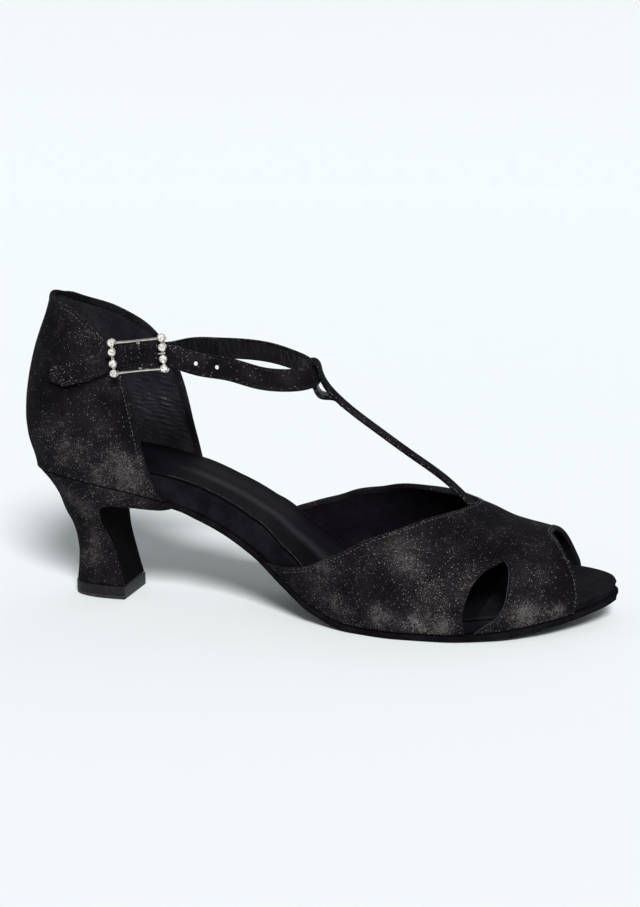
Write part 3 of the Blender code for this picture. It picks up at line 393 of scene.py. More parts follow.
def grid_faces(points, skip=()):
    """Cells of a grid of points as faces; points that meet become one corner."""
    rows, columns = points.shape[:2]
    corner = {}
    first = []
    for number, point in enumerate(points.reshape(-1, 3)):
        first.append(corner.setdefault(tuple(np.round(point, 7)), number))
    faces = []
    for i in range(rows - 1):
        for j in range(columns - 1):
            k = i * columns + j
            face = [first[n] for n in (k, k + 1, k + columns + 1, k + columns)]
            face = tuple(dict.fromkeys(face))
            if (i, j) not in skip and len(face) > 2:
                faces.append(face)
    return faces


def end_shares(count):
    """Shares from 0 to 1, close together at both ends and just short of them."""
    margin = 0.0012
    even = np.linspace(0, math.pi, count)
    return margin + (1 - 2 * margin) * (1 - np.cos(even)) / 2


def vamp_point(x, girth, inside=False):
    """Point of the vamp's surface; only the feather line has its own inner points."""
    share = x / SOLE_LENGTH
    half, centre = outline(x, GAP if inside else GAP + UPPER_WALL)
    ridge = BALL_WIDTH * VAMP["ridge"](share)
    angle = math.pi * girth
    side = np.where(girth < 0.5, -1.0, 1.0)
    foot = centre + side * half
    wide = np.abs(np.cos(angle)) ** VAMP["full"](share)
    high = np.abs(np.sin(angle)) ** VAMP["round"](share)
    y = ridge + (foot - ridge) * wide + VAMP_BULGE * side * np.abs(np.sin(2 * angle))
    z = seam(x, foot) * (1 - high) + (seam(x) + INSTEP_HEIGHT * VAMP["crest"](share)) * high
    return np.stack([x + 0 * y, y, z], axis=-1)


def vamp_normal(x, girth):
    step = 1e-4
    girth = np.clip(girth, 2 * step, 1 - 2 * step)
    along = vamp_point(x + step * SOLE_LENGTH, girth) - vamp_point(x - step * SOLE_LENGTH, girth)
    around = vamp_point(x, girth + step) - vamp_point(x, girth - step)
    return unit(np.cross(along, around))


def vamp_inner_point(x, girth):
    """Point of the lining side, one wall in from the surface."""
    point = vamp_point(x, girth) - UPPER_WALL * vamp_normal(x, girth)
    foot = (girth == 0) | (girth == 1)
    return np.where(foot[..., None], vamp_point(x, girth, inside=True), point)


def cup_point(x, rise, side, grow):
    """Point of the heel cup's surface at x on one side; grow is 0 on the board's edge."""
    half, centre = plan(x, rise, grow)
    z = seam(x) + rise * (collar_top() - seam(x))
    near = 1 - smooth_step(half / COLLAR_PEAK_REACH)
    high = smooth_step((rise - COLLAR_PEAK_START) / (1 - COLLAR_PEAK_START))
    z = z + (COLLAR_PEAK * near - COLLAR_DROP) * high
    return np.stack([x + 0 * half, centre + side * half, z], axis=-1)


def heel_half(x, level):
    """Half width of the heel at x and a level of its height, a D that widens into the seat's plan."""
    back = heel_back(level)
    breast = SOLE_LENGTH * HEEL["breast"](level)
    share = (x - back) / (breast - back)
    power = HEEL["square"](level)
    shaft = BALL_WIDTH * HEEL["half"](level) * (1 - (1 - np.clip(share, 0, 1)) ** power) ** (1 / power)
    seat = HEEL["seat"](level)
    seat_back = rear(0.0, GAP + UPPER_WALL)
    seat_x = np.where(share < 1, seat_back + (breast - seat_back) * share, x)
    return shaft * (1 - seat) + plan(seat_x, 0.0, GAP + UPPER_WALL)[0] * seat


def heel_back(level):
    return SOLE_LENGTH * HEEL["back"](level)


def heel_height(x, level):
    """Height of a level of the heel, which runs from flat at the tip to the seat's slope."""
    base = HEEL_TIP_HEIGHT + GAP
    return base + level * (layer(x, OUTSOLE_THICKNESS) - base)

ANKLE_STATIONS = 74
T_STATIONS = 46


def strap_frames(path, lean):
    """Unit vectors along, outward and up across a strap whose top edge leans in."""
    along = unit(np.gradient(path, axis=0))
    outward = unit(np.cross(np.array([0, 0, 1.0]), along))
    up = np.cross(along, outward)
    angle = np.radians(lean)[:, None]
    return along, outward * np.cos(angle) + up * np.sin(angle), up * np.cos(angle) - outward * np.sin(angle)


def buckle_frame():
    """Origin and axes of the buckle: along the strap to the toe, up across it, and outward."""
    pitch = math.radians(BUCKLE_PITCH)
    lean = math.radians(CUP_LEAN)
    along = np.array([math.cos(pitch), 0.06, math.sin(pitch)])
    along /= np.linalg.norm(along)
    outward = np.array([0, -math.cos(lean), math.sin(lean)])
    outward = unit(outward - along * (outward @ along))
    up = np.cross(outward, along)
    x = SOLE_LENGTH * BUCKLE_ALONG
    z = seam(x) + BUCKLE_RISE * (collar_top() - seam(x))
    left = x - BUCKLE_LENGTH / 2
    seat = cup_point(np.array(left), rise_at(left, z), -1.0, GAP + UPPER_WALL)
    origin = np.array([x, seat[1], z]) + outward * buckle_stand()
    return origin, along, up, outward


def buckle_stand():
    """Height of the buckle's middle over the cup: chape, strap and half a bar, with their clearances."""
    return 3 * GAP + CHAPE_THICKNESS + ANKLE_STRAP_THICKNESS + BUCKLE_BAR / 2


def centre_bar_out():
    """Outward place of the centre bar, whose outer half is sunk into the rails."""
    return -BUCKLE_BAR / 2 - CENTRE_BAR_DIAMETER / 2 + GAP / 2


def strap_out(along):
    """Outward place of the strap's middle in the buckle: under the side bars and over the centre bar."""
    low = -(BUCKLE_BAR / 2 + GAP + ANKLE_STRAP_THICKNESS / 2)
    high = centre_bar_out() + CENTRE_BAR_DIAMETER / 2 + GAP + ANKLE_STRAP_THICKNESS / 2
    return low + (high - low) * math.cos(math.pi * min(abs(along) / BUCKLE_LENGTH, 0.5)) ** 2


def in_buckle(along, up, outward):
    origin, u, v, n = buckle_frame()
    return origin + u * along + v * up + n * outward


def on_cup(along, height, side, lift):
    """Point over the cup's outer surface, from shares of SOLE_LENGTH and COUNTER_HEIGHT."""
    x = SOLE_LENGTH * along
    z = seam(x) + height * (collar_top() - seam(x))
    return cup_point(np.array(x), rise_at(x, z), side, GAP + UPPER_WALL + lift)


def ankle_path(count=ANKLE_STATIONS):
    """Middle line of the ankle strap with its lean, from the inner root to the tip of the tail."""
    rest = STRAP_LIFT + ANKLE_STRAP_THICKNESS / 2
    rows = [(*on_cup(along, height, 1.0, rest), CUP_LEAN) for along, height in ANKLE_ROOT]
    for along, across, height, lean in ANKLE_ROUTE:
        z = seam(0.0) + COUNTER_HEIGHT * height
        rows.append((SOLE_LENGTH * along, BALL_WIDTH * across, z, lean))
    for share in (0.5, 0.25, 0.0, -0.25, -0.5):
        along = share * BUCKLE_LENGTH
        drop = STRAP_DROP * max(2 * share, 0.0)
        rows.append((*in_buckle(along, -drop, strap_out(along)), CUP_LEAN))
    rows += [(*on_cup(along, height, -1.0, rest), CUP_LEAN) for along, height in ANKLE_TAIL]
    return smooth_path(rows, count)


def crossing():
    """Point and axes of the ankle strap where the T strap goes round it."""
    rows = ankle_path()
    path = rows[:, :3]
    along, outward, up = strap_frames(path, rows[:, 3])
    front = int(np.argmax(path[:, 0]))
    place = front + int(np.argmin(np.abs(path[front : front + 12, 1] - BALL_WIDTH * T_STRAP_ACROSS)))
    return path[place], along[place], outward[place], up[place]


# The visible T strap lies closer to the ankle strap than the solid one, and comes out higher at the throat
SNUG_EASE = 0.0003
SNUG_TOP = 1.05
ROOT_LIFTS = (0.0003, 0.0011, 0.0019)
SNUG_BENDS = ((0.09, -0.10), (0.20, -0.30), (0.40, 0.10), (0.65, 0.62), (0.86, 0.80))


def t_strap_path(count=T_STATIONS):
    """Middle line of the T strap and, for each point, how far it has turned to the ankle strap."""
    centre, _, out, up = crossing()
    clear = ANKLE_STRAP_THICKNESS / 2 + SNUG_EASE + T_STRAP_THICKNESS / 2
    tall = ANKLE_STRAP_WIDTH / 2
    throat = SOLE_LENGTH * VAMP_EDGE["throat"](0.5)
    below = UPPER_WALL + 2 * GAP + T_STRAP_THICKNESS / 2
    middle = np.array(0.5)
    rows = []
    for share, lift in zip((1.0, 0.5, 0.0), ROOT_LIFTS):
        x = np.array(throat + T_STRAP_ROOT * share)
        rows.append(vamp_point(x, middle) - (below - lift) * vamp_normal(x, middle))
    start = rows[-1]
    front = centre + out * clear - up * tall * 0.9
    way = front - start
    droop = unit(np.cross(np.array([0, 1.0, 0]), way))
    for share, sag in SNUG_BENDS:
        rows.append(start + way * share - droop * T_STRAP_SAG * sag)
    rows.append(front)
    over = ((clear, 0.0), (clear, 0.75), (0.6 * clear, 0.93 * SNUG_TOP), (0.0, SNUG_TOP),
            (-0.6 * clear, 0.93 * SNUG_TOP), (-clear, 0.75), (-clear, -0.75))
    rows += [centre + out * a + up * tall * b for a, b in over]
    fold = T_STRAP_THICKNESS + 2 * GAP
    rows.append(front - way * 0.05 - droop * fold * 1.5 - out * clear)
    rows.append(front - unit(way) * FOLD_LENGTH * 0.62 - droop * fold)
    rows.append(front - unit(way) * FOLD_LENGTH - droop * fold)
    turned = [0, 0, 0, 0, 0, 0, 0.08, 0.5, 1, 1, 1, 1, 1, 1, 1, 1, 0.8, 0.5, 0.3]
    return smooth_path([(*row, turn) for row, turn in zip(rows, turned)], count)


def stone_places():
    inner = (PRONG_SPACE + STONE_DIAMETER) / 2
    outer = inner + STONE_PITCH
    return (-outer, -inner, inner, outer)


# Worn, lighter places of the suede as (x, y, z) in millimetres, radius in millimetres and strength. The
# outer side follows the photo and the inner side is guessed.
WEAR_SPOTS = (
    ((33, -23, 103), 9, 0.26),
    ((38, -23, 92), 6, 0.15),
    ((17, -24, 71), 7, 0.36),
    ((31, -25, 61), 9, 0.41),
    ((21, -25, 60), 7, 0.26),
    ((47, -24, 56), 8, 0.46),
    ((50, -24, 48), 6, 0.49),
    ((38, -24, 49), 7, 0.30),
    ((40, -25, 72), 6, 0.20),
    ((24, -20, 41), 5, 0.49),
    ((33, -20, 44), 5, 0.36),
    ((42, -20, 42), 5, 0.33),
    ((29, -17, 34), 5, 0.49),
    ((30, -13, 26), 5, 0.53),
    ((28, -10, 18), 5, 0.56),
    ((24, -8, 13), 4, 0.30),
    ((127, -33, 20), 6, 0.54),
    ((132, -35, 11.2), 3.8, 0.69),
    ((138, -37, 8.2), 3.8, 0.51),
    ((150, -41, 7.7), 4.8, 0.92),
    ((163, -42, 5.7), 4.8, 0.92),
    ((173, -42, 5.7), 4.8, 0.87),
    ((142, -37, 24), 7, 0.32),
    ((157, -37, 30), 8, 0.45),
    ((169, -41, 19), 9, 0.50),
    ((174, -30, 34), 8, 0.27),
    ((172, -15, 42), 6, 0.36),
    ((184, -36, 22), 7, 0.41),
    ((187, -18, 36), 6, 0.20),
    ((201, -33, 8.7), 4.8, 0.87),
    ((212, -25, 9.7), 3.8, 0.87),
    ((206, -31, 10.2), 3.8, 0.64),
    ((206, -24, 25), 6, 0.32),
    ((206, -10, 31), 6, 0.18),
    ((150, 34, 9.2), 6.8, 0.74),
    ((166, 36, 6.2), 5.8, 0.83),
    ((180, 37, 11.2), 6.8, 0.46),
    ((202, 33, 14), 6, 0.63),
    ((140, 30, 24), 8, 0.41),
    ((168, 33, 28), 9, 0.32),
    ((20, 24, 62), 8, 0.40),
    ((36, 25, 55), 9, 0.43),
    ((50, 24, 62), 8, 0.26),
    ((34, 23, 100), 9, 0.23),
    ((6, 10, 60), 7, 0.23),
    ((4, -4, 74), 7, 0.20),
    ((30, 16, 32), 6, 0.40),
    ((28, 11, 18), 5, 0.43),
    ((20, 4, 24), 5, 0.26),
)
# Soft hollows (negative) and swells of the vamp: along, girth, their radii, and height in metres
VAMP_FOLDS = (
    (0.700, 0.130, 0.030, 0.060, -0.00045),
    (0.655, 0.060, 0.020, 0.050, 0.00035),
    (0.735, 0.060, 0.018, 0.050, -0.00030),
    (0.780, 0.300, 0.020, 0.070, 0.00040),
    (0.735, 0.230, 0.022, 0.060, -0.00035),
    (0.880, 0.150, 0.018, 0.070, 0.00035),
    (0.905, 0.300, 0.014, 0.080, -0.00030),
    (0.800, 0.620, 0.024, 0.080, -0.00040),
    (0.700, 0.800, 0.026, 0.060, 0.00040),
    (0.620, 0.900, 0.022, 0.060, -0.00035),
    (0.880, 0.830, 0.018, 0.070, 0.00035),
)
# Creases across the heel cup: rise, column, their radii, and height in metres
CUP_FOLDS = (
    (0.30, -0.55, 0.10, 0.20, -0.00035),
    (0.16, -0.80, 0.06, 0.25, 0.00030),
    (0.62, -0.35, 0.12, 0.18, -0.00030),
    (0.45, 0.10, 0.10, 0.30, -0.00025),
    (0.28, 0.60, 0.10, 0.22, -0.00035),
    (0.12, 0.75, 0.06, 0.25, 0.00030),
    (0.70, 0.45, 0.12, 0.20, 0.00025),
)
RIM_BAND = 0.0019
RIM_STAND = 0.00035
ROOT_BUMP = 0.0012
WRINKLE_PITCH = 0.0020
WRINKLE_DEPTH = 0.00060
HEM_STEPS = np.array((0.0, 0.0004, 0.0008, 0.0012, 0.0016, 0.0020, 0.0026, 0.0034))
HEM_RISE = 0.00020
HEM_GROOVE = 0.00012
HEM_WIDTH = 0.0013
EDGE_REACH = 0.0011
SEED = 7


def hem(distance):
    """Height of a folded edge with its stitch line, at a distance from the edge."""
    fold = HEM_RISE * (1 - smooth_step((distance - HEM_WIDTH) / 0.0008))
    return fold - HEM_GROOVE * np.exp(-(((distance - HEM_WIDTH - 0.0003) / 0.0004) ** 2))


def soft_folds(rows, across, table_rows):
    """Sum of soft hollows and swells over a grid."""
    height = 0 * rows
    for place, side, long, wide, high in table_rows:
        height = height + high * np.exp(-(((rows - place) / long) ** 2) - ((across - side) / wide) ** 2)
    return height


def grid_normals(points):
    """Unit normals of a grid of points."""
    along = np.gradient(points, axis=0)
    across = np.gradient(points, axis=1)
    normal = np.cross(along, across)
    size = np.linalg.norm(normal, axis=-1, keepdims=True)
    return normal / np.maximum(size, 1e-12)


def nearest(points, lines):
    """Distance from each point to the nearest point of the lines."""
    lines = np.concatenate([line.reshape(-1, 3) for line in lines])
    flat = points.reshape(-1, 3)
    result = np.empty(len(flat))
    for start in range(0, len(flat), 2000):
        part = flat[start : start + 2000]
        gap = part[:, None, :] - lines[None, :, :]
        result[start : start + 2000] = np.sqrt((gap**2).sum(axis=2)).min(axis=1)
    return result.reshape(points.shape[:-1])


def wear_at(points):
    """Share of worn suede at points of the part's frame."""
    share = np.zeros(len(points))
    for place, radius, strength in WEAR_SPOTS:
        gap = np.linalg.norm(points - np.array(place) / 1000, axis=1)
        share += strength * np.exp(-((gap / (radius / 1000)) ** 2))
    return np.clip(share, 0, 1)


def add_piece(name, verts, faces, looks, numbers=None, nodes=(), slot=None, edge=None, sharp=40.0, wear=True):
    """A piece from points of the part's frame, on the root body, with wear and edge as attributes."""
    mesh = bpy.data.meshes.new(name)
    verts = np.asarray(verts, dtype=float)
    mesh.from_pydata((verts + SHIFT).tolist(), [], [tuple(int(i) for i in face) for face in faces])
    for look in looks:
        mesh.materials.append(look)
    if numbers is not None:
        mesh.polygons.foreach_set("material_index", np.asarray(numbers, dtype=np.int32))
    if wear:
        layer_wear = mesh.attributes.new("wear", "FLOAT", "POINT")
        layer_wear.data.foreach_set("value", wear_at(verts).astype(np.float32))
    if edge is not None:
        layer_edge = mesh.attributes.new("edge", "FLOAT", "POINT")
        layer_edge.data.foreach_set("value", np.asarray(edge, dtype=np.float32))
    cleaner = bmesh.new()
    cleaner.from_mesh(mesh)
    bmesh.ops.recalc_face_normals(cleaner, faces=cleaner.faces)
    cleaner.to_mesh(mesh)
    cleaner.free()
    mesh.shade_smooth()
    mesh.set_sharp_from_angle(angle=math.radians(sharp))
    made = bpy.data.objects.new(name, mesh)
    bpy.context.scene.collection.objects.link(made)
    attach(made, "root")
    if nodes:
        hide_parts(*nodes)
    return made


ROUND_RIM = tuple(((1 - math.cos(math.pi * s / 5)) / 2, math.sin(math.pi * s / 5)) for s in range(6))
SOLE_RIM = ((0.0, 0.0), (0.04, 0.55), (0.10, 0.85), (0.20, 1.0), (0.80, 1.0), (0.90, 0.85), (0.96, 0.55),
            (1.0, 0.0))


def shell(name, top, bottom, looks, skip=(), proud=0.0004, pull=True, rim=ROUND_RIM, **more):
    """A closed piece between two grids with a shaped rim; looks are for the top, the bottom and the rim."""
    faces = grid_faces(top, skip)
    count = top.shape[0] * top.shape[1]
    high = top.reshape(-1, 3).copy()
    low = bottom.reshape(-1, 3).copy()
    edges = set()
    normals = np.zeros_like(high)
    for face in faces:
        edges.update(zip(face, face[1:] + face[:1]))
        points = high[list(face)]
        diagonal = points[3] - points[1] if len(face) > 3 else points[2] - points[1]
        normals[list(face)] += np.cross(points[2] - points[0], diagonal)
    border = [(a, b) for a, b in sorted(edges) if (b, a) not in edges]
    outs = {}
    for a, b in border:
        way = high[b] - high[a]
        way = way / max(np.linalg.norm(way), 1e-12)
        for k in (a, b):
            normal = normals[k] / max(np.linalg.norm(normals[k]), 1e-12)
            outs[k] = outs.get(k, 0) + np.cross(way, normal)
    verts = [high, low]
    ring = {}
    number = 2 * count
    for k, out in outs.items():
        out = out / max(np.linalg.norm(out), 1e-12)
        if pull:
            high[k] -= out * proud
            low[k] -= out * proud
        ring[k] = [k]
        for down, reach in rim[1:-1]:
            verts.append((high[k] * (1 - down) + low[k] * down + out * proud * reach)[None, :])
            ring[k].append(number)
            number += 1
        ring[k].append(k + count)
    shape = list(faces)
    numbers = [0] * len(faces)
    shape += [tuple(i + count for i in reversed(face)) for face in faces]
    numbers += [1] * len(faces)
    for a, b in border:
        for s in range(len(rim) - 1):
            shape.append((ring[b][s], ring[a][s], ring[a][s + 1], ring[b][s + 1]))
            numbers.append(2)
    verts = np.concatenate(verts)
    used = np.array(sorted({i for face in shape for i in face}))
    renumber = np.zeros(len(verts), dtype=int)
    renumber[used] = np.arange(len(used))
    shape = [tuple(renumber[i] for i in face) for face in shape]
    verts = verts[used]
    edge_points = high[sorted(outs)]
    distance = nearest(verts, [edge_points])
    edge = np.exp(-((distance / EDGE_REACH) ** 2))
    return add_piece(name, verts, shape, looks, numbers, edge=edge, **more)


# Materials


def new_material(name):
    made = bpy.data.materials.new(name)
    made.use_nodes = True
    return made, made.node_tree.nodes, made.node_tree.links, made.node_tree.nodes["Principled BSDF"]


def node(nodes, kind, **values):
    made = nodes.new(kind)
    for key, value in values.items():
        setattr(made, key, value)
    return made


def maths(nodes, links, operation, first, second=None, clamp=False):
    made = nodes.new("ShaderNodeMath")
    made.operation = operation
    made.use_clamp = clamp
    for socket, value in zip(made.inputs, (first, second)):
        if value is None:
            continue
        if isinstance(value, (int, float)):
            socket.default_value = value
        else:
            links.new(value, socket)
    return made.outputs[0]


def noise(nodes, links, place, scale, detail=3.0, rough=0.55):
    made = nodes.new("ShaderNodeTexNoise")
    made.inputs["Scale"].default_value = scale
    made.inputs["Detail"].default_value = detail
    made.inputs["Roughness"].default_value = rough
    links.new(place, made.inputs["Vector"])
    return made.outputs["Fac"]


def ramp(nodes, links, value, low, high, start=0.0, end=1.0):
    """Maps a value from low..high to start..end, smoothly and clamped."""
    made = nodes.new("ShaderNodeMapRange")
    made.interpolation_type = "SMOOTHSTEP"
    for key, number in (("From Min", low), ("From Max", high), ("To Min", start), ("To Max", end)):
        made.inputs[key].default_value = number
    links.new(value, made.inputs["Value"])
    return made.outputs["Result"]


def blend_colour(nodes, links, share, first, second):
    made = nodes.new("ShaderNodeMix")
    made.data_type = "RGBA"
    links.new(share, made.inputs["Factor"])
    for socket, value in ((made.inputs[6], first), (made.inputs[7], second)):
        if isinstance(value, tuple):
            socket.default_value = (*value, 1.0)
        else:
            links.new(value, socket)
    return made.outputs[2]


def add_bump(nodes, links, shader, height, strength, distance, normal=None):
    made = nodes.new("ShaderNodeBump")
    made.inputs["Strength"].default_value = strength
    made.inputs["Distance"].default_value = distance
    links.new(height, made.inputs["Height"])
    if normal is not None:
        links.new(normal, made.inputs["Normal"])
    links.new(made.outputs["Normal"], shader.inputs["Normal"])
    return made.outputs["Normal"]


def suede_look(name, dark, mid, worn, flecks):
    """Black suede with a foil finish: nap, cloudy worn places and fine metallic flecks."""
    worn_haze = tuple(0.24 * value for value in worn)
    made, nodes, links, shader = new_material(name)
    place = nodes.new("ShaderNodeTexCoord").outputs["Object"]
    wear = node(nodes, "ShaderNodeAttribute", attribute_name="wear").outputs["Fac"]
    edge = node(nodes, "ShaderNodeAttribute", attribute_name="edge").outputs["Fac"]
    cloud = noise(nodes, links, place, 75.0, 3.0, 0.6)
    blotch = noise(nodes, links, place, 260.0, 4.0, 0.65)
    grain = noise(nodes, links, place, 3000.0, 2.0, 0.7)
    nap = noise(nodes, links, place, 4200.0, 2.0, 0.7)
    shade = ramp(nodes, links, cloud, 0.38, 0.66)
    base = blend_colour(nodes, links, shade, dark, mid)
    mottle = maths(nodes, links, "MULTIPLY", wear, ramp(nodes, links, blotch, 0.26, 0.66, 0.45, 1.15))
    faint = ramp(nodes, links, cloud, 0.46, 0.72, 0.0, 0.26)
    amount = maths(nodes, links, "ADD", mottle, faint, clamp=True)
    base = blend_colour(nodes, links, maths(nodes, links, "MULTIPLY", amount, 0.30), base, worn_haze)
    speckle = maths(nodes, links, "ADD", grain, maths(nodes, links, "MULTIPLY", amount, 0.17))
    foil = ramp(nodes, links, speckle, 0.58, 0.72)
    foil = maths(nodes, links, "MULTIPLY", foil, ramp(nodes, links, amount, 0.02, 0.75, 0.12, 1.0))
    base = blend_colour(nodes, links, foil, base, worn)
    cells = nodes.new("ShaderNodeTexVoronoi")
    cells.inputs["Scale"].default_value = 2700.0
    links.new(place, cells.inputs["Vector"])
    parts = nodes.new("ShaderNodeSeparateColor")
    links.new(cells.outputs["Color"], parts.inputs["Color"])
    near = maths(nodes, links, "LESS_THAN", cells.outputs["Distance"], 0.40)
    rare = maths(nodes, links, "ADD", maths(nodes, links, "MULTIPLY", amount, 0.18), 0.018 * flecks)
    rare = maths(nodes, links, "ADD", rare, maths(nodes, links, "MULTIPLY", edge, 0.10 * flecks))
    chosen = maths(nodes, links, "LESS_THAN", parts.outputs[0], rare)
    fleck = maths(nodes, links, "MULTIPLY", near, chosen)
    bright = blend_colour(nodes, links, parts.outputs[1], (0.05, 0.048, 0.047), (0.30, 0.285, 0.27))
    colour = blend_colour(nodes, links, fleck, base, bright)
    links.new(colour, shader.inputs["Base Color"])
    links.new(maths(nodes, links, "ADD", maths(nodes, links, "MULTIPLY", fleck, 0.75),
                    maths(nodes, links, "MULTIPLY", foil, 0.25), clamp=True), shader.inputs["Metallic"])
    rough = maths(nodes, links, "SUBTRACT", 0.95, maths(nodes, links, "MULTIPLY", fleck, 0.55))
    links.new(maths(nodes, links, "SUBTRACT", rough, maths(nodes, links, "MULTIPLY", foil, 0.25)),
              shader.inputs["Roughness"])
    shader.inputs["Specular IOR Level"].default_value = 0.05
    height = maths(nodes, links, "ADD", nap, maths(nodes, links, "MULTIPLY", blotch, 0.8))
    add_bump(nodes, links, shader, height, 0.7, 0.00025)
    return made


def leather_look(name, dark, light, gloss, scale, depth, shine=0.16, stretch=(1.0, 1.0, 1.0)):
    """Smooth or grained leather: fine pebbles, pores, slight colour changes and a painted sheen streak where
    the mesh carries one.
    """
    made, nodes, links, shader = new_material(name)
    place = nodes.new("ShaderNodeTexCoord").outputs["Object"]
    cloud = noise(nodes, links, place, 60.0, 4.0, 0.6)
    drawn = nodes.new("ShaderNodeMapping")
    drawn.inputs["Scale"].default_value = stretch
    links.new(place, drawn.inputs["Vector"])
    place = drawn.outputs["Vector"]
    grain = noise(nodes, links, place, scale, 5.0, 0.6)
    base = blend_colour(nodes, links, ramp(nodes, links, cloud, 0.35, 0.68), dark, light)
    base = blend_colour(nodes, links, ramp(nodes, links, grain, 0.55, 0.75, 0.0, 0.6), base,
                        tuple(1.6 * value for value in light))
    # Painted highlight: a point attribute, which only the sock has, lifts the colour towards a lighter grey
    # where the sheen of its leather would show.
    painted_sheen = node(nodes, "ShaderNodeAttribute", attribute_name="painted_sheen").outputs["Fac"]
    base = blend_colour(nodes, links, painted_sheen, base, (0.034, 0.032, 0.039))
    links.new(base, shader.inputs["Base Color"])
    links.new(ramp(nodes, links, cloud, 0.3, 0.7, gloss - 0.06, gloss + 0.08), shader.inputs["Roughness"])
    shader.inputs["Specular IOR Level"].default_value = shine
    cells = nodes.new("ShaderNodeTexVoronoi")
    cells.feature = "DISTANCE_TO_EDGE"
    cells.inputs["Scale"].default_value = scale * 0.8
    links.new(place, cells.inputs["Vector"])
    pebble = ramp(nodes, links, cells.outputs["Distance"], 0.0, 0.18)
    height = maths(nodes, links, "ADD", pebble, maths(nodes, links, "MULTIPLY", grain, 0.8))
    add_bump(nodes, links, shader, height, 0.5, depth)
    return made


def fabric_look(name, dark, light, fuzz):
    """Matte microfibre or felt: short random fibres."""
    made, nodes, links, shader = new_material(name)
    place = nodes.new("ShaderNodeTexCoord").outputs["Object"]
    cloud = noise(nodes, links, place, 110.0, 4.0, 0.6)
    fibre = noise(nodes, links, place, 2600.0, 3.0, 0.75)
    pick = maths(nodes, links, "ADD", maths(nodes, links, "MULTIPLY", cloud, 0.5),
                 maths(nodes, links, "MULTIPLY", fibre, 0.5))
    base = blend_colour(nodes, links, ramp(nodes, links, pick, 0.40, 0.62), dark, light)
    links.new(base, shader.inputs["Base Color"])
    shader.inputs["Roughness"].default_value = 0.95
    shader.inputs["Specular IOR Level"].default_value = 0.03
    shader.inputs["Sheen Weight"].default_value = fuzz
    shader.inputs["Sheen Roughness"].default_value = 0.5
    add_bump(nodes, links, shader, fibre, 0.8, 0.0003)
    return made


def plain_look(name, dark, light, rough, scale, metallic=0.0, depth=0.00003):
    """Rubber, thread or metal with fine marks."""
    made, nodes, links, shader = new_material(name)
    place = nodes.new("ShaderNodeTexCoord").outputs["Object"]
    marks = noise(nodes, links, place, scale, 4.0, 0.6)
    links.new(blend_colour(nodes, links, ramp(nodes, links, marks, 0.35, 0.7), dark, light),
              shader.inputs["Base Color"])
    links.new(ramp(nodes, links, marks, 0.3, 0.75, rough - 0.05, rough + 0.09), shader.inputs["Roughness"])
    shader.inputs["Metallic"].default_value = metallic
    shader.inputs["Specular IOR Level"].default_value = 0.12
    add_bump(nodes, links, shader, marks, 0.3, depth)
    return made


def glint_look(name):
    """Foil flakes, each with its own brightness."""
    made, nodes, links, shader = new_material(name)
    glint = node(nodes, "ShaderNodeAttribute", attribute_name="glint").outputs["Fac"]
    links.new(blend_colour(nodes, links, glint, (0.05, 0.047, 0.046), (0.52, 0.49, 0.47)),
              shader.inputs["Base Color"])
    shader.inputs["Metallic"].default_value = 0.7
    shader.inputs["Roughness"].default_value = 0.4
    return made


def stone_look(name):
    """Foil-backed clear cut stone."""
    made, nodes, links, shader = new_material(name)
    place = nodes.new("ShaderNodeTexCoord").outputs["Object"]
    spark = noise(nodes, links, place, 1500.0, 1.0, 0.5)
    links.new(blend_colour(nodes, links, ramp(nodes, links, spark, 0.40, 0.60), (0.40, 0.37, 0.35),
                           (0.93, 0.90, 0.86)), shader.inputs["Base Color"])
    shader.inputs["Metallic"].default_value = 0.30
    shader.inputs["Roughness"].default_value = 0.22
    shader.inputs["Coat Weight"].default_value = 1.0
    shader.inputs["Coat Roughness"].default_value = 0.03
    return made


SUEDE = suede_look("glitter_suede", (0.0026, 0.0022, 0.0033), (0.0075, 0.0064, 0.0082),
                   (0.098, 0.088, 0.088), 1.0)
SUEDE_STRAP = suede_look("strap_suede", (0.0032, 0.0027, 0.0038), (0.0085, 0.0074, 0.0090),
                         (0.095, 0.086, 0.086), 1.5)
SUEDE_RIM = suede_look("rim_suede", (0.0048, 0.0042, 0.0058), (0.0095, 0.0085, 0.0105),
                       (0.06, 0.056, 0.056), 0.5)
LINING = leather_look("lining_leather", (0.0085, 0.0080, 0.0108), (0.0170, 0.0160, 0.0205),
                      0.36, 900.0, 0.00012, 0.34)
VAMP_LINING = fabric_look("lining_fabric", (0.0036, 0.0030, 0.0046), (0.0075, 0.0064, 0.0090), 0.0)
STRAP_BACK = leather_look("strap_leather", (0.0036, 0.0033, 0.0045), (0.0080, 0.0074, 0.0095),
                          0.42, 500.0, 0.00030, 0.16, (1.0, 1.0, 0.10))
SOCK = leather_look("sock_leather_fine", (0.0026, 0.0023, 0.0036), (0.0046, 0.0041, 0.0062),
                    0.66, 1500.0, 0.00004, 0.02)
SOCK_TOE = fabric_look("sock_fabric", (0.0050, 0.0048, 0.0064), (0.0110, 0.0106, 0.0134), 0.0)
BAND = fabric_look("band_fabric", (0.0030, 0.0027, 0.0040), (0.0095, 0.0088, 0.0118), 0.0)
SOLE_EDGE = fabric_look("sole_edge_suede", (0.0022, 0.0019, 0.0029), (0.0078, 0.0070, 0.0090), 0.0)
SOLE_FACE = fabric_look("sole_face_suede", (0.020, 0.018, 0.018), (0.045, 0.041, 0.040), 0.0)
TIP = plain_look("tip_block", (0.0070, 0.0066, 0.0084), (0.0135, 0.0128, 0.0155), 0.5, 700.0)
TIP_BASE = plain_look("tip_base", (0.018, 0.017, 0.021), (0.036, 0.034, 0.040), 0.5, 900.0)
BREAST = fabric_look("breast_cloth", (0.0006, 0.0006, 0.0008), (0.0018, 0.0017, 0.0022), 0.0)
BINDING = plain_look("slit_binding", (0.014, 0.014, 0.018), (0.034, 0.034, 0.042), 0.5, 1200.0)
THREAD = plain_look("thread", (0.0060, 0.0057, 0.0066), (0.017, 0.016, 0.017), 0.6, 3000.0)
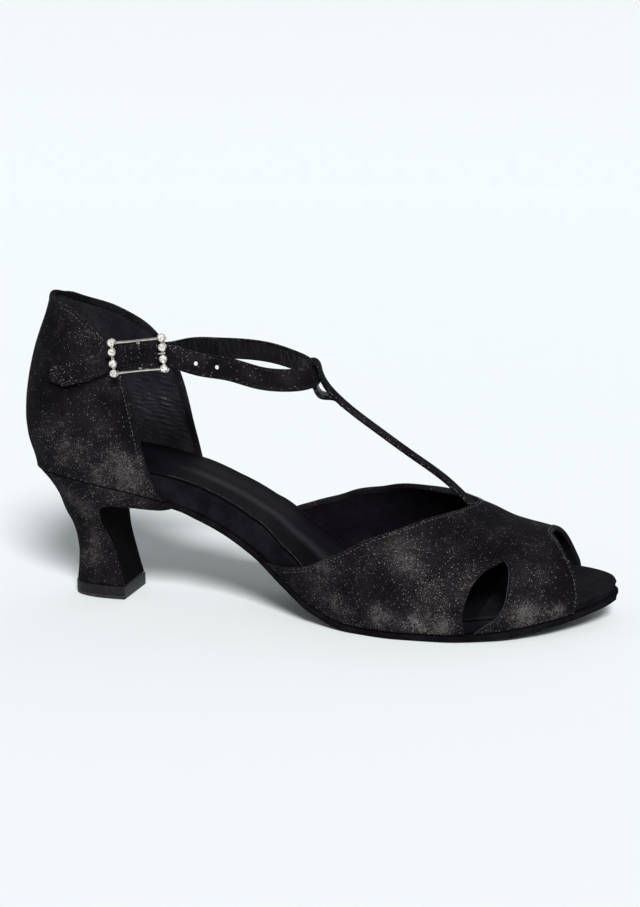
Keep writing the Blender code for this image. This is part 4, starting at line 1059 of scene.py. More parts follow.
THREAD_PALE = plain_look("thread_glint", (0.020, 0.019, 0.019), (0.110, 0.104, 0.100), 0.5, 3000.0)
SOCK_LINE = plain_look("sock_cut_edge", (0.006, 0.0058, 0.007), (0.050, 0.047, 0.045), 0.5, 900.0)
SILVER = plain_look("buckle_silver", (0.60, 0.555, 0.50), (0.90, 0.86, 0.81), 0.20, 400.0, metallic=1.0)
STONE = stone_look("cut_stone")
GLINT = glint_look("foil_flakes")


# Upper


def spread(first, last, count, near=True, far=True, scale=1.0):
    """Rows of x from first to last, dense within a hem's width of the near and far ends."""
    steps = HEM_STEPS * scale
    start = [first + step for step in steps] if near else [first]
    end = [last - step for step in steps[::-1]] if far else [last]
    middle = [start[-1] + (end[0] - start[-1]) * t for t in np.linspace(0, 1, count + 2)[1:-1]]
    return start + middle + end


def vamp_grids():
    side = SLIT_TIP * (1 - (1 - np.linspace(0, 1, 30)) ** 1.0)
    top = np.linspace(SLIT_TIP, 1 - SLIT_TIP, 46)
    girths = np.concatenate([side, top[1:-1], 1 - side[::-1]])
    leaf = np.minimum(girths, 1 - girths)
    open_leaf = leaf < SLIT_TIP - 1e-6
    shift = SLIT_INNER_SHIFT * smooth_step((girths - SLIT_TIP) / (1 - 2 * SLIT_TIP))
    back = SOLE_LENGTH * (shift + np.where(open_leaf, SLIT["back"](leaf), SLIT_TIP_ALONG))
    front = SOLE_LENGTH * (shift + np.where(open_leaf, SLIT["front"](leaf), SLIT_TIP_ALONG))
    throat = SOLE_LENGTH * VAMP_EDGE["throat"](girths)
    toe = SOLE_LENGTH * VAMP_EDGE["toe"](girths)
    back_rows = spread(throat, back, 44, scale=1.25)
    front_rows = spread(front, toe, 8)
    x = np.array(back_rows + front_rows)
    girth = girths + 0 * x
    skip = {(len(back_rows) - 1, j) for j in range(len(girths) - 1)}
    outer = vamp_point(x, girth)
    inner = vamp_inner_point(x, girth)
    normal = vamp_normal(x, girth)
    turn = len(back_rows)
    lines = [outer[0], outer[-1]]
    lines += [outer[turn - 1][open_leaf], outer[turn][open_leaf]]
    distance = nearest(outer, [line_points(line) for line in lines])
    rise = hem(distance) + soft_folds(x / SOLE_LENGTH, girth, VAMP_FOLDS)
    # the hollow at the feather line keeps to the sole
    keep = smooth_step(np.minimum(girth, 1 - girth) / 0.03)
    over_strap = ROOT_BUMP * np.exp(-(((girth - 0.5) / 0.050) ** 2) - ((x - throat) / 0.0075) ** 2)
    outer = outer + normal * (rise * keep + over_strap)[..., None]
    # a folded rim stands out along the throat's inner side
    fold = 1 - smooth_step((nearest(inner, [line_points(inner[0])]) - RIM_BAND) / 0.0005)
    inner = inner + normal * (over_strap - RIM_STAND * fold * keep)[..., None]
    return outer, inner, normal, skip, turn, open_leaf


def trim_rim(made, lines, width):
    """Gives the lining's faces near the edge lines the rim's look."""
    mesh = made.data
    kind = np.zeros(len(mesh.polygons), dtype=np.int32)
    mesh.polygons.foreach_get("material_index", kind)
    centre = np.zeros(3 * len(mesh.polygons))
    mesh.polygons.foreach_get("center", centre)
    gap = nearest(centre.reshape(-1, 3) - SHIFT, [line_points(line) for line in lines])
    kind[(kind == 1) & (gap < width)] = 2
    mesh.polygons.foreach_set("material_index", kind)


def rows_at(at, places, rows):
    """Rows of values at places between the given ones."""
    return np.stack([np.interp(at, places, rows[:, i]) for i in range(rows.shape[1])], axis=-1)


def line_points(line, pitch=0.0004):
    """A line with its steps filled in at the pitch."""
    size = np.linalg.norm(np.diff(line, axis=0), axis=1)
    places = np.concatenate([[0], np.cumsum(size)])
    if places[-1] < 1e-9:
        return line[:1]
    at = np.linspace(0, places[-1], max(2, int(places[-1] / pitch)))
    return rows_at(at, places, line)


def inset_line(edge, inner, normals, inset):
    """A line that runs inset from an edge towards the inner row, on the surface."""
    way = unit(np.gradient(edge, axis=0) + 1e-12)
    inward = inner - edge
    inward = inward - way * np.sum(inward * way, axis=1)[:, None]
    inward = inward - normals * np.sum(inward * normals, axis=1)[:, None]
    return edge + unit(inward) * inset


SEAMS = []


def sew(line, normals, pitch=0.0017, length=0.0011, width=0.00034, pale=False):
    """Keeps a stitch line for later."""
    SEAMS.append((line, normals, pitch, length, width, pale))


def thread_mesh(rows):
    """Stitches of the seams as points and faces."""
    rings = ((-0.5, 0.0), (-0.42, 0.6), (-0.2, 1.0), (0.2, 1.0), (0.42, 0.6), (0.5, 0.0))
    sides = 6
    verts = []
    faces = []
    for line, normals, pitch, length, width, _ in rows:
        size = np.linalg.norm(np.diff(line, axis=0), axis=1)
        places = np.concatenate([[0], np.cumsum(size)])
        count = int(places[-1] / pitch)
        for number in range(count):
            middle = (number + 0.5) * pitch
            point = rows_at(middle, places, line)
            ahead = rows_at(middle + length / 2, places, line)
            behind = rows_at(middle - length / 2, places, line)
            normal = rows_at(middle, places, normals)
            way = ahead - behind
            if np.linalg.norm(way) < 1e-9:
                continue
            way = unit(way)
            normal = unit(normal - way * (normal @ way))
            side = np.cross(way, normal)
            first = len(verts)
            verts.append(point + way * rings[0][0] * length - normal * width * 0.35)
            for place, radius in rings[1:-1]:
                for s in range(sides):
                    angle = 2 * math.pi * s / sides
                    lift = math.cos(angle) * radius * width / 2 - width * 0.35 * (1 - radius)
                    verts.append(point + way * place * length + normal * lift
                                 + side * math.sin(angle) * radius * width / 2)
            verts.append(point + way * rings[-1][0] * length - normal * width * 0.35)
            last = len(verts) - 1
            for s in range(sides):
                t = (s + 1) % sides
                faces.append((first, first + 1 + s, first + 1 + t))
                for r in range(len(rings) - 3):
                    low = first + 1 + r * sides
                    faces.append((low + s, low + sides + s, low + sides + t, low + t))
                low = first + 1 + (len(rings) - 3) * sides
                faces.append((low + s, last, low + t))
    return verts, faces


def add_stitches():
    """Adds the kept stitch lines as one piece of dark and one of pale stitches."""
    for name, pale, look in (("seam_stitches", False, THREAD), ("glint_stitches", True, THREAD_PALE)):
        rows = [seam_row for seam_row in SEAMS if seam_row[5] is pale]
        if rows:
            verts, faces = thread_mesh(rows)
            add_piece(name, verts, faces, [look], slot="black_suede", sharp=60.0, wear=False)


outer, inner, normal, skip, turn, open_leaf = vamp_grids()
sign = 1.0 if (normal[20, 60] @ np.array([0, 0, 1.0])) > 0 else -1.0
surface_normal = normal * sign
vamp_cover = shell("vamp_cover", outer, inner, [SUEDE, VAMP_LINING, SUEDE_RIM], skip,
                   nodes=("vamp",), slot="black_suede")
trim_rim(vamp_cover, [inner[0]], RIM_BAND + 0.0002)
STITCH_INSET = 0.0017
row = inset_line(outer[0], outer[3], surface_normal[0], STITCH_INSET)
sew(row[3:-3], surface_normal[0][3:-3], pale=True)
row = inset_line(outer[-1], outer[-4], surface_normal[-1], STITCH_INSET)
sew(row[3:-3], surface_normal[-1][3:-3], pale=True)
half_count = int(np.sum(open_leaf)) // 2
leaf_parts = (slice(0, half_count + 1), slice(len(open_leaf) - half_count - 1, len(open_leaf)))
for part in leaf_parts:
    for index, inward in ((turn - 1, turn - 4), (turn, turn + 3)):
        row = inset_line(outer[index][part], outer[inward][part], surface_normal[index][part],
                         STITCH_INSET * 0.8)
        sew(row[1:-1], surface_normal[index][part][1:-1])


binding_lines = []
for part in leaf_parts:
    line = 0.72 * outer[turn][part] + 0.28 * inner[turn][part]
    binding_lines.append(line - (outer[turn + 1][part] - outer[turn][part]) * 0.5)


def cup_columns():
    """Columns of the cup's grid, closer at its front edges for the hem."""
    steps = HEM_STEPS / (2 * 0.05)
    side = np.concatenate([1 - steps, np.linspace(1 - steps[-1], 0, 62)[1:]])
    return np.concatenate([-side[:-1], [0.0], side[:-1][::-1]])


def cup_rises():
    """Rises of the cup's grid, closer at the collar for the hem."""
    top = 1 - HEM_STEPS[::-1] / COUNTER_HEIGHT
    return np.concatenate([[0.0, 0.012], np.linspace(0.03, top[0], 176)[:-1], top])


def counter_grids():
    """Outer and inner face of the cup with hem, creases, wrinkles and folded rim."""
    columns = cup_columns()
    rise = cup_rises()[:, None] + 0 * columns
    result = []
    for grow in (GAP + UPPER_WALL, GAP):
        reach = np.where(columns < 0, CUP["outer_reach"](rise), CUP["inner_reach"](rise))
        back = rear(rise, grow)
        x = back + (SOLE_LENGTH * reach - back) * columns**2
        result.append(cup_point(x, rise, np.sign(columns) + 0 * x, grow))
    outer_grid, inner_grid = result
    normals = grid_normals(outer_grid)
    middle = normals[40, 10]
    if middle[1] > 0:
        normals = -normals
    lines = [line_points(outer_grid[-1]), line_points(outer_grid[:, 0]), line_points(outer_grid[:, -1])]
    distance = nearest(outer_grid, lines)
    grown = hem(distance) + soft_folds(rise, columns + 0 * rise, CUP_FOLDS)
    outer_grid = outer_grid + normals * (grown * smooth_step(rise / 0.04))[..., None]
    # wrinkles of the lining on the inner side, one above the other
    x = inner_grid[..., 0] / SOLE_LENGTH
    wave = inner_grid[..., 2] * 2 * math.pi / WRINKLE_PITCH + 2.6 * np.sin(x * 150)
    wave = wave + 1.7 * np.sin(x * 67 + 1.0)
    wave = wave + 1.3 * np.sin(rise * 31 + x * 40)
    window = np.exp(-(((rise - 0.34) / 0.19) ** 2) - ((x - 0.205) / 0.065) ** 2)
    fine = 0.55 + 0.45 * np.sin(x * 210 + rise * 55)
    crease = -WRINKLE_DEPTH * window * (0.5 + 0.5 * np.sin(wave)) ** 2 * fine
    edge_keep = smooth_step(nearest(inner_grid, lines) / 0.004)
    side = smooth_step(((columns + 0 * rise) - 0.2) / 0.2)
    inner_grid = inner_grid + normals * (crease * edge_keep * side)[..., None]
    fold = 1 - smooth_step((nearest(inner_grid, [line_points(inner_grid[-1]), line_points(inner_grid[:, 0]),
                                                line_points(inner_grid[:, -1])]) - RIM_BAND) / 0.0005)
    inner_grid = inner_grid - normals * (RIM_STAND * fold * smooth_step(rise / 0.04))[..., None]
    return outer_grid, inner_grid, normals


outer, inner, normal = counter_grids()
counter_cover = shell("counter_cover", outer, inner, [SUEDE, LINING, SUEDE_RIM],
                      nodes=("heel_counter",), slot="black_suede")
trim_rim(counter_cover, [inner[-1], inner[:, 0], inner[:, -1]], RIM_BAND + 0.0002)
row = inset_line(outer[-1], outer[-4], normal[-1], STITCH_INSET)
sew(row[1:-1], normal[-1][1:-1], pale=True)
for column, beside in ((0, 3), (-1, -4)):
    row = inset_line(outer[:, column], outer[:, beside], normal[:, column], STITCH_INSET)
    sew(row[6:-3], normal[:, column][6:-3], pale=True)


# Sole


def sole_points(xs, half, centre, depth, dish, columns):
    """Grid of points of a sole layer's face."""
    x = xs[:, None] + 0 * columns
    y = centre[:, None] + half[:, None] * columns
    seat = 1 - smooth_step(xs / SOLE_LENGTH / CUP_FADE_END)
    z = layer(x, depth[:, None], y) - dish * seat[:, None] * (1 - columns**2)
    return np.stack([x, y, z], axis=-1)


WIDE = np.sin(np.linspace(-1, 1, 45) * math.pi / 2)
STATIONS = 190
EDGE_ROUND = 0.00035
start = SOLE_LENGTH * HEEL["breast"](1.0) + GAP + EDGE_ROUND
end = SOLE_LENGTH + OUTSOLE_EDGE
xs = start + (end - start) * (1 - np.cos(np.linspace(0, math.pi, STATIONS))) / 2
xs[-1] = end - SOLE_LENGTH / 1000
share = xs / SOLE_LENGTH
grow = SOLE["welt"](share) * (GAP + UPPER_WALL) + OUTSOLE_EDGE
wings = 1 - smooth_step((share - HEEL["front"](1.0)) / 0.03)
half, centre = plan(xs, 0.0, grow)
rim = plan(xs, 0.0, GAP + UPPER_WALL)[0] - WING_WALL - 2 * GAP
half = half * (1 - wings) + np.minimum(half, rim) * wings - EDGE_ROUND
top = sole_points(xs, half, centre, OUTSOLE_THICKNESS + 0 * xs, 0.0, WIDE)
bottom = sole_points(xs, half, centre, 0 * xs, 0.0, WIDE)
shell("outsole_suede", top, bottom, [SOLE_EDGE, SOLE_FACE, SOLE_EDGE], proud=EDGE_ROUND, pull=False,
      rim=SOLE_RIM, nodes=("outsole",), slot="sole_suede")

shares = end_shares(STATIONS)
first = rear(0.0, 0.0) + EDGE_ROUND
low_xs = first + (SOLE_LENGTH - EDGE_ROUND - first) * shares
low_half, low_centre = plan(low_xs, 0.0, -BOARD_DRAFT / 2 - EDGE_ROUND)
seat_rise = rise_at(0.0, layer(0.0, board_depth(0.0)))
first = rear(seat_rise, 0.0) + EDGE_ROUND
high_xs = first + (SOLE_LENGTH - EDGE_ROUND - first) * shares
rises = rise_at(high_xs, layer(high_xs, board_depth(high_xs)))
high_half, high_centre = plan(high_xs, rises, -BOARD_DRAFT - EDGE_ROUND)
top = sole_points(high_xs, high_half, high_centre, board_depth(high_xs), SEAT_DISH, WIDE)
bottom = sole_points(low_xs, low_half, low_centre, OUTSOLE_THICKNESS + GAP + 0 * low_xs, 0.0, WIDE)
shell("board_wrapped", top, bottom, [BAND, BAND, BAND], proud=EDGE_ROUND, pull=False,
      rim=SOLE_RIM, nodes=("midsole_board",), slot="board_wrap")

depth = board_depth(0.0)
seat_rise = rise_at(0.0, layer(0.0, depth))
first = rear(seat_rise, -SOCK_INSET - EDGE_ROUND)
xs = first + (SOLE_LENGTH + OUTSOLE_EDGE / 2 - EDGE_ROUND - first) * end_shares(STATIONS)
depth = board_depth(xs) + GAP
# The sock reaches over the board's edge at the open toe
SOCK_TURN = 0.0011
SOCK_SINK = 0.0007
toe_share = smooth_step((xs / SOLE_LENGTH - 0.84) / 0.05)
inset = SOCK_INSET + EDGE_ROUND - (SOCK_INSET + OUTSOLE_EDGE) * toe_share
half, centre = plan(xs, rise_at(xs, layer(xs, depth)), -inset)
top = sole_points(xs, half, centre, depth + SOCK_THICKNESS, SEAT_DISH, WIDE)
over_edge = np.clip((np.abs(WIDE) - 0.86) / 0.14, 0, 1)
over_end = np.clip((xs - SOLE_LENGTH * 0.985) / (SOLE_LENGTH * 0.015), 0, 1)[:, None]
top[..., 2] -= SOCK_TURN * np.clip(np.maximum(over_edge**2 * toe_share[:, None], over_end**2), 0, 1)
bottom = sole_points(xs, half, centre, depth - SOCK_SINK * toe_share, SEAT_DISH, WIDE)
waist = np.exp(-(((xs / SOLE_LENGTH - 0.40) / 0.13) ** 2))[:, None]
top[..., 2] -= 0.0007 * waist * (1 - WIDE**2)
# Small folds of the sock at the toe
for place, size, tall in ((0.955, 0.006, 0.0004), (0.968, 0.004, -0.0003), (0.978, 0.004, 0.0003)):
    fold = np.exp(-(((xs[:, None] / SOLE_LENGTH + 0.02 * WIDE - place) / size) ** 2))
    top[..., 2] += tall * fold * np.exp(-(((WIDE + 0.7) / 0.3) ** 2))
sock = shell("sock_cover", top, bottom, [SOCK, SOCK, SOCK], proud=EDGE_ROUND, pull=False,
             nodes=("insole_sock",), slot="sock_leather")
sock.data.materials.append(SOCK_TOE)
mesh = sock.data
places = np.zeros(3 * len(mesh.vertices))
mesh.vertices.foreach_get("co", places)
places = places.reshape(-1, 3) - SHIFT
at = places[:, 0] / SOLE_LENGTH
half, centre = plan(places[:, 0], 0.0, 0.0)
side = (places[:, 1] - centre) / np.maximum(half, 0.001)
# Painted highlight: a lighter streak down the middle of the sock's waist and a fainter band towards its inner
# side, kept as a point attribute, stand in for the leather's sheen.
long = smooth_step((at - 0.24) / 0.10) * (1 - smooth_step((at - 0.50) / 0.12))
painted_sheen = 0.60 * long * np.exp(-(((side + 0.10 - 0.5 * (at - 0.38)) / 0.16) ** 2))
painted_sheen += 0.16 * long * np.exp(-(((side - 0.45) / 0.30) ** 2))
layer_painted_sheen = mesh.attributes.new("painted_sheen", "FLOAT", "POINT")
layer_painted_sheen.data.foreach_set("value", painted_sheen.astype(np.float32))
for face in mesh.polygons:
    if face.center[0] - SHIFT[0] > SOLE_LENGTH * 0.80:
        face.material_index = 3


def ring_quad(low, high, j, k):
    """Face between columns j and k of two rings that start at low and high."""
    return (low + j, low + k, high + k, high + j)


def rod(path, radii, sides=10):
    """Points and faces of a round rod along a path with rounded ends."""
    path = np.asarray(path)
    ways = unit(np.gradient(path, axis=0))
    helper = np.array([0.31, 0.52, 0.79])
    across = unit(np.cross(ways, helper))
    other = np.cross(ways, across)
    angles = np.linspace(0, 2 * math.pi, sides, endpoint=False)
    radii = np.asarray(radii) * np.ones(len(path))
    rows = [path[0] - ways[0] * radii[0] * 0.5]
    centres = list(zip(path, radii, across, other))
    verts = [rows[0][None, :]]
    for point, radius, a, b in centres:
        verts.append(point + radius * (np.outer(np.cos(angles), a) + np.outer(np.sin(angles), b)))
    verts.append((path[-1] + ways[-1] * radii[-1] * 0.5)[None, :])
    verts = np.concatenate(verts)
    last = len(verts) - 1
    faces = []
    for j in range(sides):
        k = (j + 1) % sides
        faces.append((0, 1 + k, 1 + j))
        for i in range(len(path) - 1):
            low = 1 + i * sides
            faces.append((low + j, low + k, low + sides + k, low + sides + j))
        low = 1 + (len(path) - 1) * sides
        faces.append((low + j, low + k, last))
    return verts, faces


def join(parts):
    """Several sets of points and faces as one."""
    verts = []
    faces = []
    first = 0
    for points, shape in parts:
        verts.append(np.asarray(points))
        faces += [tuple(first + i for i in face) for face in shape]
        first += len(points)
    return np.concatenate(verts), faces


points, shape = join([rod(line, 0.00018, 8) for line in binding_lines])
add_piece("slit_binding", points, shape, [BINDING], slot="black_suede", wear=False)

# cut edge of the sock, which shows as a thin pale line on the outer side
line_x = np.linspace(0.27, 0.56, 120) * SOLE_LENGTH
depth = board_depth(line_x) + GAP + SOCK_THICKNESS
half, centre = plan(line_x, rise_at(line_x, layer(line_x, depth)), -SOCK_INSET)
parts = []
for side, thick in ((-1, 0.00013), (1, 0.00012)):
    y = centre + side * half
    z = layer(line_x, depth, y) - 0.00025
    parts.append(rod(np.stack([line_x, y, z], axis=-1), thick, 8))
points, shape = join(parts)
add_piece("sock_edge_line", points, shape, [SOCK_LINE], slot="sock_leather", wear=False)


# Heel


def heel_loop(level, side_points=30, wing_points=8):
    """The heel's outline at a level, round both wings and the breast."""
    back = heel_back(level)
    breast = SOLE_LENGTH * HEEL["breast"](level)
    front = SOLE_LENGTH * HEEL["front"](level)
    shares = np.linspace(0, 1, side_points + 1) ** 2
    wing = np.linspace(breast, front, wing_points + 1)[1:]
    outer_x = np.concatenate([back + (breast - back) * shares, wing])
    inner_x = np.concatenate([wing[::-1], [breast]])
    wall = WING_WALL * HEEL["wall"](level)
    outer_y = heel_half(outer_x, level)
    inner_y = heel_half(inner_x, level) - wall
    x = np.concatenate([outer_x, inner_x])
    y = np.concatenate([outer_y, inner_y])
    # the edges beside the breast are a little round
    soft = 0.0003
    corner = side_points + wing_points
    y[corner] -= soft
    y[corner + 1] += soft * 0.6
    x[corner] += 0.0
    return np.stack([x, y, heel_height(x, level)], axis=-1)


levels = np.concatenate([[0.0, 0.006], np.linspace(0.02, 0.985, 78), [1.0]])
rings = []
for level in levels:
    ring = heel_loop(level)
    if level == 0.0:
        ring[:, 1] -= 0.00025
        ring[:, 0] += np.where(np.arange(len(ring)) < 8, 0.00025, 0.0)
    rings.append(np.concatenate([ring, (ring * np.array([1, -1, 1]))[:0:-1]]))
count = len(rings[0])
side_count = len(heel_loop(0.0))
verts = np.concatenate(rings)
faces = []
for k in range(len(rings) - 1):
    for j in range(count):
        n = (j + 1) % count
        faces.append((k * count + j, k * count + n, (k + 1) * count + n, (k + 1) * count + j))
SIDE = 30
WING = 8
for base in (0, (len(rings) - 1) * count):
    mirrored = [base + (count - j) % count for j in range(side_count)]
    near = [base + j for j in range(side_count)]
    for j in range(SIDE - 1):
        if j == 0:
            faces.append((near[0], near[1], mirrored[1]))
        else:
            faces.append((near[j], near[j + 1], mirrored[j + 1], mirrored[j]))
    j = SIDE - 1
    faces.append((near[j], near[j + 1], near[-1], mirrored[-1], mirrored[j + 1], mirrored[j]))
    for line in (near, mirrored):
        for j in range(WING):
            a = SIDE + j
            b = side_count - 1 - j
            faces.append((line[a], line[a + 1], line[b - 1], line[b]))
corner_line = np.array([heel_loop(level)[SIDE + WING] for level in levels if level < BREAST_TOP])
corners = [corner_line, corner_line * np.array([1, -1, 1])]
edge = np.exp(-((nearest(verts, [line_points(line) for line in corners]) / EDGE_REACH) ** 2))
add_piece("heel_cover", verts, faces, [SUEDE], nodes=("heel",), slot="black_suede", edge=edge, sharp=50.0)

front = SOLE_LENGTH * HEEL["front"](0.0) + HEEL_TIP_EDGE
back = heel_back(0.0) - HEEL_TIP_EDGE
tip_shares = np.concatenate([[0.0006], np.linspace(0.03, 1, 46) ** 2])
tip_x = back + (front - back) * tip_shares
inside_x = (tip_x - back) / (front - back) * (front - back - 2 * HEEL_TIP_EDGE) + heel_back(0.0)
tip_half = heel_half(inside_x, 0.0) + HEEL_TIP_EDGE
tip_half[0] = HEEL_TIP_EDGE * 1.5
outline_points = np.concatenate([np.stack([tip_x, -tip_half], axis=-1),
                                 np.stack([tip_x, tip_half], axis=-1)[::-1]])
tip_centre = np.array([(front + back) / 2, 0.0])
heights = ((0.0, 0.0005), (0.00025, 0.0001), (0.0006, 0.0), (0.0012, 0.0), (0.00135, 0.00012), (0.0015, 0.0),
           (HEEL_TIP_HEIGHT - 0.0004, 0.0), (HEEL_TIP_HEIGHT - 0.0001, 0.00012), (HEEL_TIP_HEIGHT, 0.0004))
verts = []
for z, inset in heights:
    size = np.linalg.norm(outline_points - tip_centre, axis=1, keepdims=True)
    moved = outline_points - (outline_points - tip_centre) / size * inset
    verts.append(np.concatenate([moved, np.full((len(moved), 1), z)], axis=1))
ring_count = len(outline_points)
faces = []
numbers = []
for k in range(len(heights) - 1):
    for j in range(ring_count):
        n = (j + 1) % ring_count
        faces.append(ring_quad(k * ring_count, (k + 1) * ring_count, j, n))
        numbers.append(1 if heights[k][0] < 0.0013 else 0)
for base in (0, (len(heights) - 1) * ring_count):
    near_half = ring_count // 2
    for j in range(near_half - 1):
        faces.append((base + j, base + j + 1, base + ring_count - 2 - j, base + ring_count - 1 - j))
        numbers.append(1 if base == 0 else 0)
add_piece("heel_tip_block", np.concatenate(verts), faces, [TIP, TIP_BASE], numbers, nodes=("heel_tip",),
          slot="tip_rubber", sharp=30.0, wear=False)

breast_levels = np.linspace(0.0, BREAST_TOP, 40)
breast = SOLE_LENGTH * HEEL["breast"](breast_levels) + GAP
wall = WING_WALL * HEEL["wall"](breast_levels)
half = np.array([heel_half(b, level) for b, level in zip(breast, breast_levels)]) - wall - GAP
columns = np.linspace(-1, 1, 15)
y = half[:, None] * columns
x = breast[:, None] + 0 * y
z = heel_height(x, breast_levels[:, None])
inner = np.stack([x, y, z], axis=-1)
cover = inner + np.array([BREAST_COVER, 0, 0]) - np.array([0.0004, 0, 0]) * (1 - columns**2)[None, :, None]
shell("breast_cover_cloth", cover, inner, [BREAST, BREAST, BREAST], proud=0.0002, nodes=("heel_breast",),
      slot="breast_cover", wear=False)


# Straps


def place_along(rows, at):
    """Values of the rows at lengths along the path."""
    path = rows[:, :3]
    lengths = np.concatenate([[0], np.cumsum(np.linalg.norm(np.diff(path, axis=0), axis=1))])
    return rows_at(at, lengths, rows)


def total_length(rows):
    return np.linalg.norm(np.diff(rows[:, :3], axis=0), axis=1).sum()


def strap_section(width, thick, points=15, groove=0.00010):
    """Section of a folded strap: across, out and whether the face is the lining; its top comes first."""
    radius = thick / 2
    flat = np.linspace(-(width / 2 - radius), width / 2 - radius, points)
    press = groove * np.exp(-(((np.abs(flat) - (width / 2 - 0.0013)) / 0.0004) ** 2))
    crown = 0.00008 * (1 - (flat / (width / 2)) ** 2)
    top_row = [(a, radius - p + c, 0) for a, p, c in zip(flat, press, crown)]
    right = [(flat[-1] + radius * math.sin(t), radius * math.cos(t), 0)
             for t in np.linspace(0, math.pi, 8)[1:-1]]
    low = [(a, -radius, 1) for a in flat[::-1]]
    left = [(flat[0] - radius * math.sin(t), -radius * math.cos(t), 0)
            for t in np.linspace(0, math.pi, 8)[1:-1]]
    return top_row + right + low + left


def band(name, rows, outward, across, width, thick, looks, stations, nodes, cut=None):
    """A strap with a rounded section along rows of a path; cut moves its last end by the place across."""
    section = strap_section(width, thick)
    length = total_length(rows)
    at = np.linspace(0, length, stations)
    reach = 0.007
    data = np.concatenate([rows[:, :3], outward, across], axis=1)
    verts = []
    for s in at:
        wanted = []
        for a, n, _ in section:
            shift = 0.0
            if cut is not None and s > length - reach:
                bend = np.interp(a / width, (-0.5, 0.0, 0.5), cut)
                shift = bend * (s - (length - reach)) / reach
            wanted.append(s + shift)
        values = place_along(data, np.array(wanted))
        a = np.array([row[0] for row in section])
        n = np.array([row[1] for row in section])
        verts.append(values[:, :3] + unit(values[:, 6:9]) * a[:, None] + unit(values[:, 3:6]) * n[:, None])
    count = len(section)
    faces = []
    numbers = []
    for i in range(stations - 1):
        for j in range(count):
            k = (j + 1) % count
            faces.append(ring_quad(i * count, (i + 1) * count, j, k))
            numbers.append(1 if section[j][2] and section[k][2] else 0)
    points = 15
    arc = 6
    for base in (0, (stations - 1) * count):
        for j in range(points - 1):
            low = points + arc + (points - 1 - j)
            faces.append((base + j, base + j + 1, base + low - 1, base + low))
            numbers.append(0)
        faces.append(tuple(base + points - 1 + j for j in range(arc + 2)))
        numbers.append(0)
        faces.append(tuple(base + (2 * points + arc - 1 + j) % count for j in range(arc + 2)))
        numbers.append(0)
    a = np.abs(np.array([row[0] for row in section]))
    edge = np.tile(np.exp(-(((width / 2 - a) / EDGE_REACH) ** 2)), stations)
    distance = np.repeat(np.clip(length - at, 0, 1), count)
    if cut is not None:
        edge = np.clip(edge + 1.6 * np.exp(-((distance / 0.006) ** 2)), 0, 2.5)
    return add_piece(name, np.concatenate(verts), faces, looks, numbers, nodes=nodes, slot="black_suede",
                     edge=edge)


def cut_with(target, cutters):
    """Cuts holes through a piece and applies the result."""
    for number, (points, shape) in enumerate(cutters):
        mesh = bpy.data.meshes.new(f"cut_{number}")
        mesh.from_pydata((points + SHIFT).tolist(), [], [tuple(int(i) for i in face) for face in shape])
        tool = bpy.data.objects.new(f"cut_{number}", mesh)
        cleaner = bmesh.new()
        cleaner.from_mesh(mesh)
        bmesh.ops.recalc_face_normals(cleaner, faces=cleaner.faces)
        cleaner.to_mesh(mesh)
        cleaner.free()
        bpy.context.scene.collection.objects.link(tool)
        change = target.modifiers.new(f"cut_{number}", "BOOLEAN")
        change.operation = "DIFFERENCE"
        change.solver = "EXACT"
        change.object = tool
    bpy.context.view_layer.update()
    graph = bpy.context.evaluated_depsgraph_get()
    mesh = bpy.data.meshes.new_from_object(target.evaluated_get(graph))
    target.modifiers.clear()
    target.data = mesh
    for number in range(len(cutters)):
        bpy.data.objects.remove(bpy.data.objects[f"cut_{number}"], do_unlink=True)
    mesh.shade_smooth()
    mesh.set_sharp_from_angle(angle=math.radians(40))


fine_ankle = ankle_path(420)
_, ankle_out, ankle_up = strap_frames(fine_ankle[:, :3], fine_ankle[:, 3])
ankle = band("ankle_strap_suede", fine_ankle[:, :3], ankle_out, ankle_up, ANKLE_STRAP_WIDTH,
             ANKLE_STRAP_THICKNESS, [SUEDE_STRAP, STRAP_BACK], 330, ("ankle_strap",),
             cut=(-TAIL_CUT, 0.0, -TAIL_TOP_CUT))
ankle_data = np.concatenate([fine_ankle[:, :3], ankle_out, ankle_up], axis=1)
ankle_lengths = np.concatenate([[0], np.cumsum(np.linalg.norm(np.diff(fine_ankle[:, :3], axis=0), axis=1))])
buckle_middle = in_buckle(0.0, 0.0, strap_out(0.0))
buckle_at = ankle_lengths[int(np.argmin(np.linalg.norm(fine_ankle[:, :3] - buckle_middle, axis=1)))]
cutters = []
for place in HOLE_PLACES:
    values = place_along(ankle_data, np.array([buckle_at - place * HOLE_PITCH]))[0]
    point = values[:3]
    out = unit(values[3:6])
    ends = np.linspace(point - out * 2 * ANKLE_STRAP_THICKNESS, point + out * 2 * ANKLE_STRAP_THICKNESS, 3)
    cutters.append(rod(ends, HOLE_DIAMETER / 2, 20))
slot_rows = ((0.19 * BUCKLE_LENGTH, -0.0045), (0.33 * BUCKLE_LENGTH, -0.00145),
             (0.47 * BUCKLE_LENGTH, 0.0016))
cutters.append(rod([in_buckle(a, 0.0, n) for a, n in slot_rows], PRONG_DIAMETER / 2 + 2 * GAP, 16))
cut_with(ankle, cutters)
for side in (-1, 1):
    a = side * (ANKLE_STRAP_WIDTH / 2 - 0.0013)
    line = fine_ankle[:, :3] + ankle_up * a + ankle_out * (ANKLE_STRAP_THICKNESS / 2)
    low = int(len(line) * 0.02)
    high = int(np.argmin(np.abs(ankle_lengths - (ankle_lengths[-1] - (0.0045 if side > 0 else 0.0062)))))
    sew(line[low:high], ankle_out[low:high], pitch=0.0016, length=0.0010, width=0.00028)

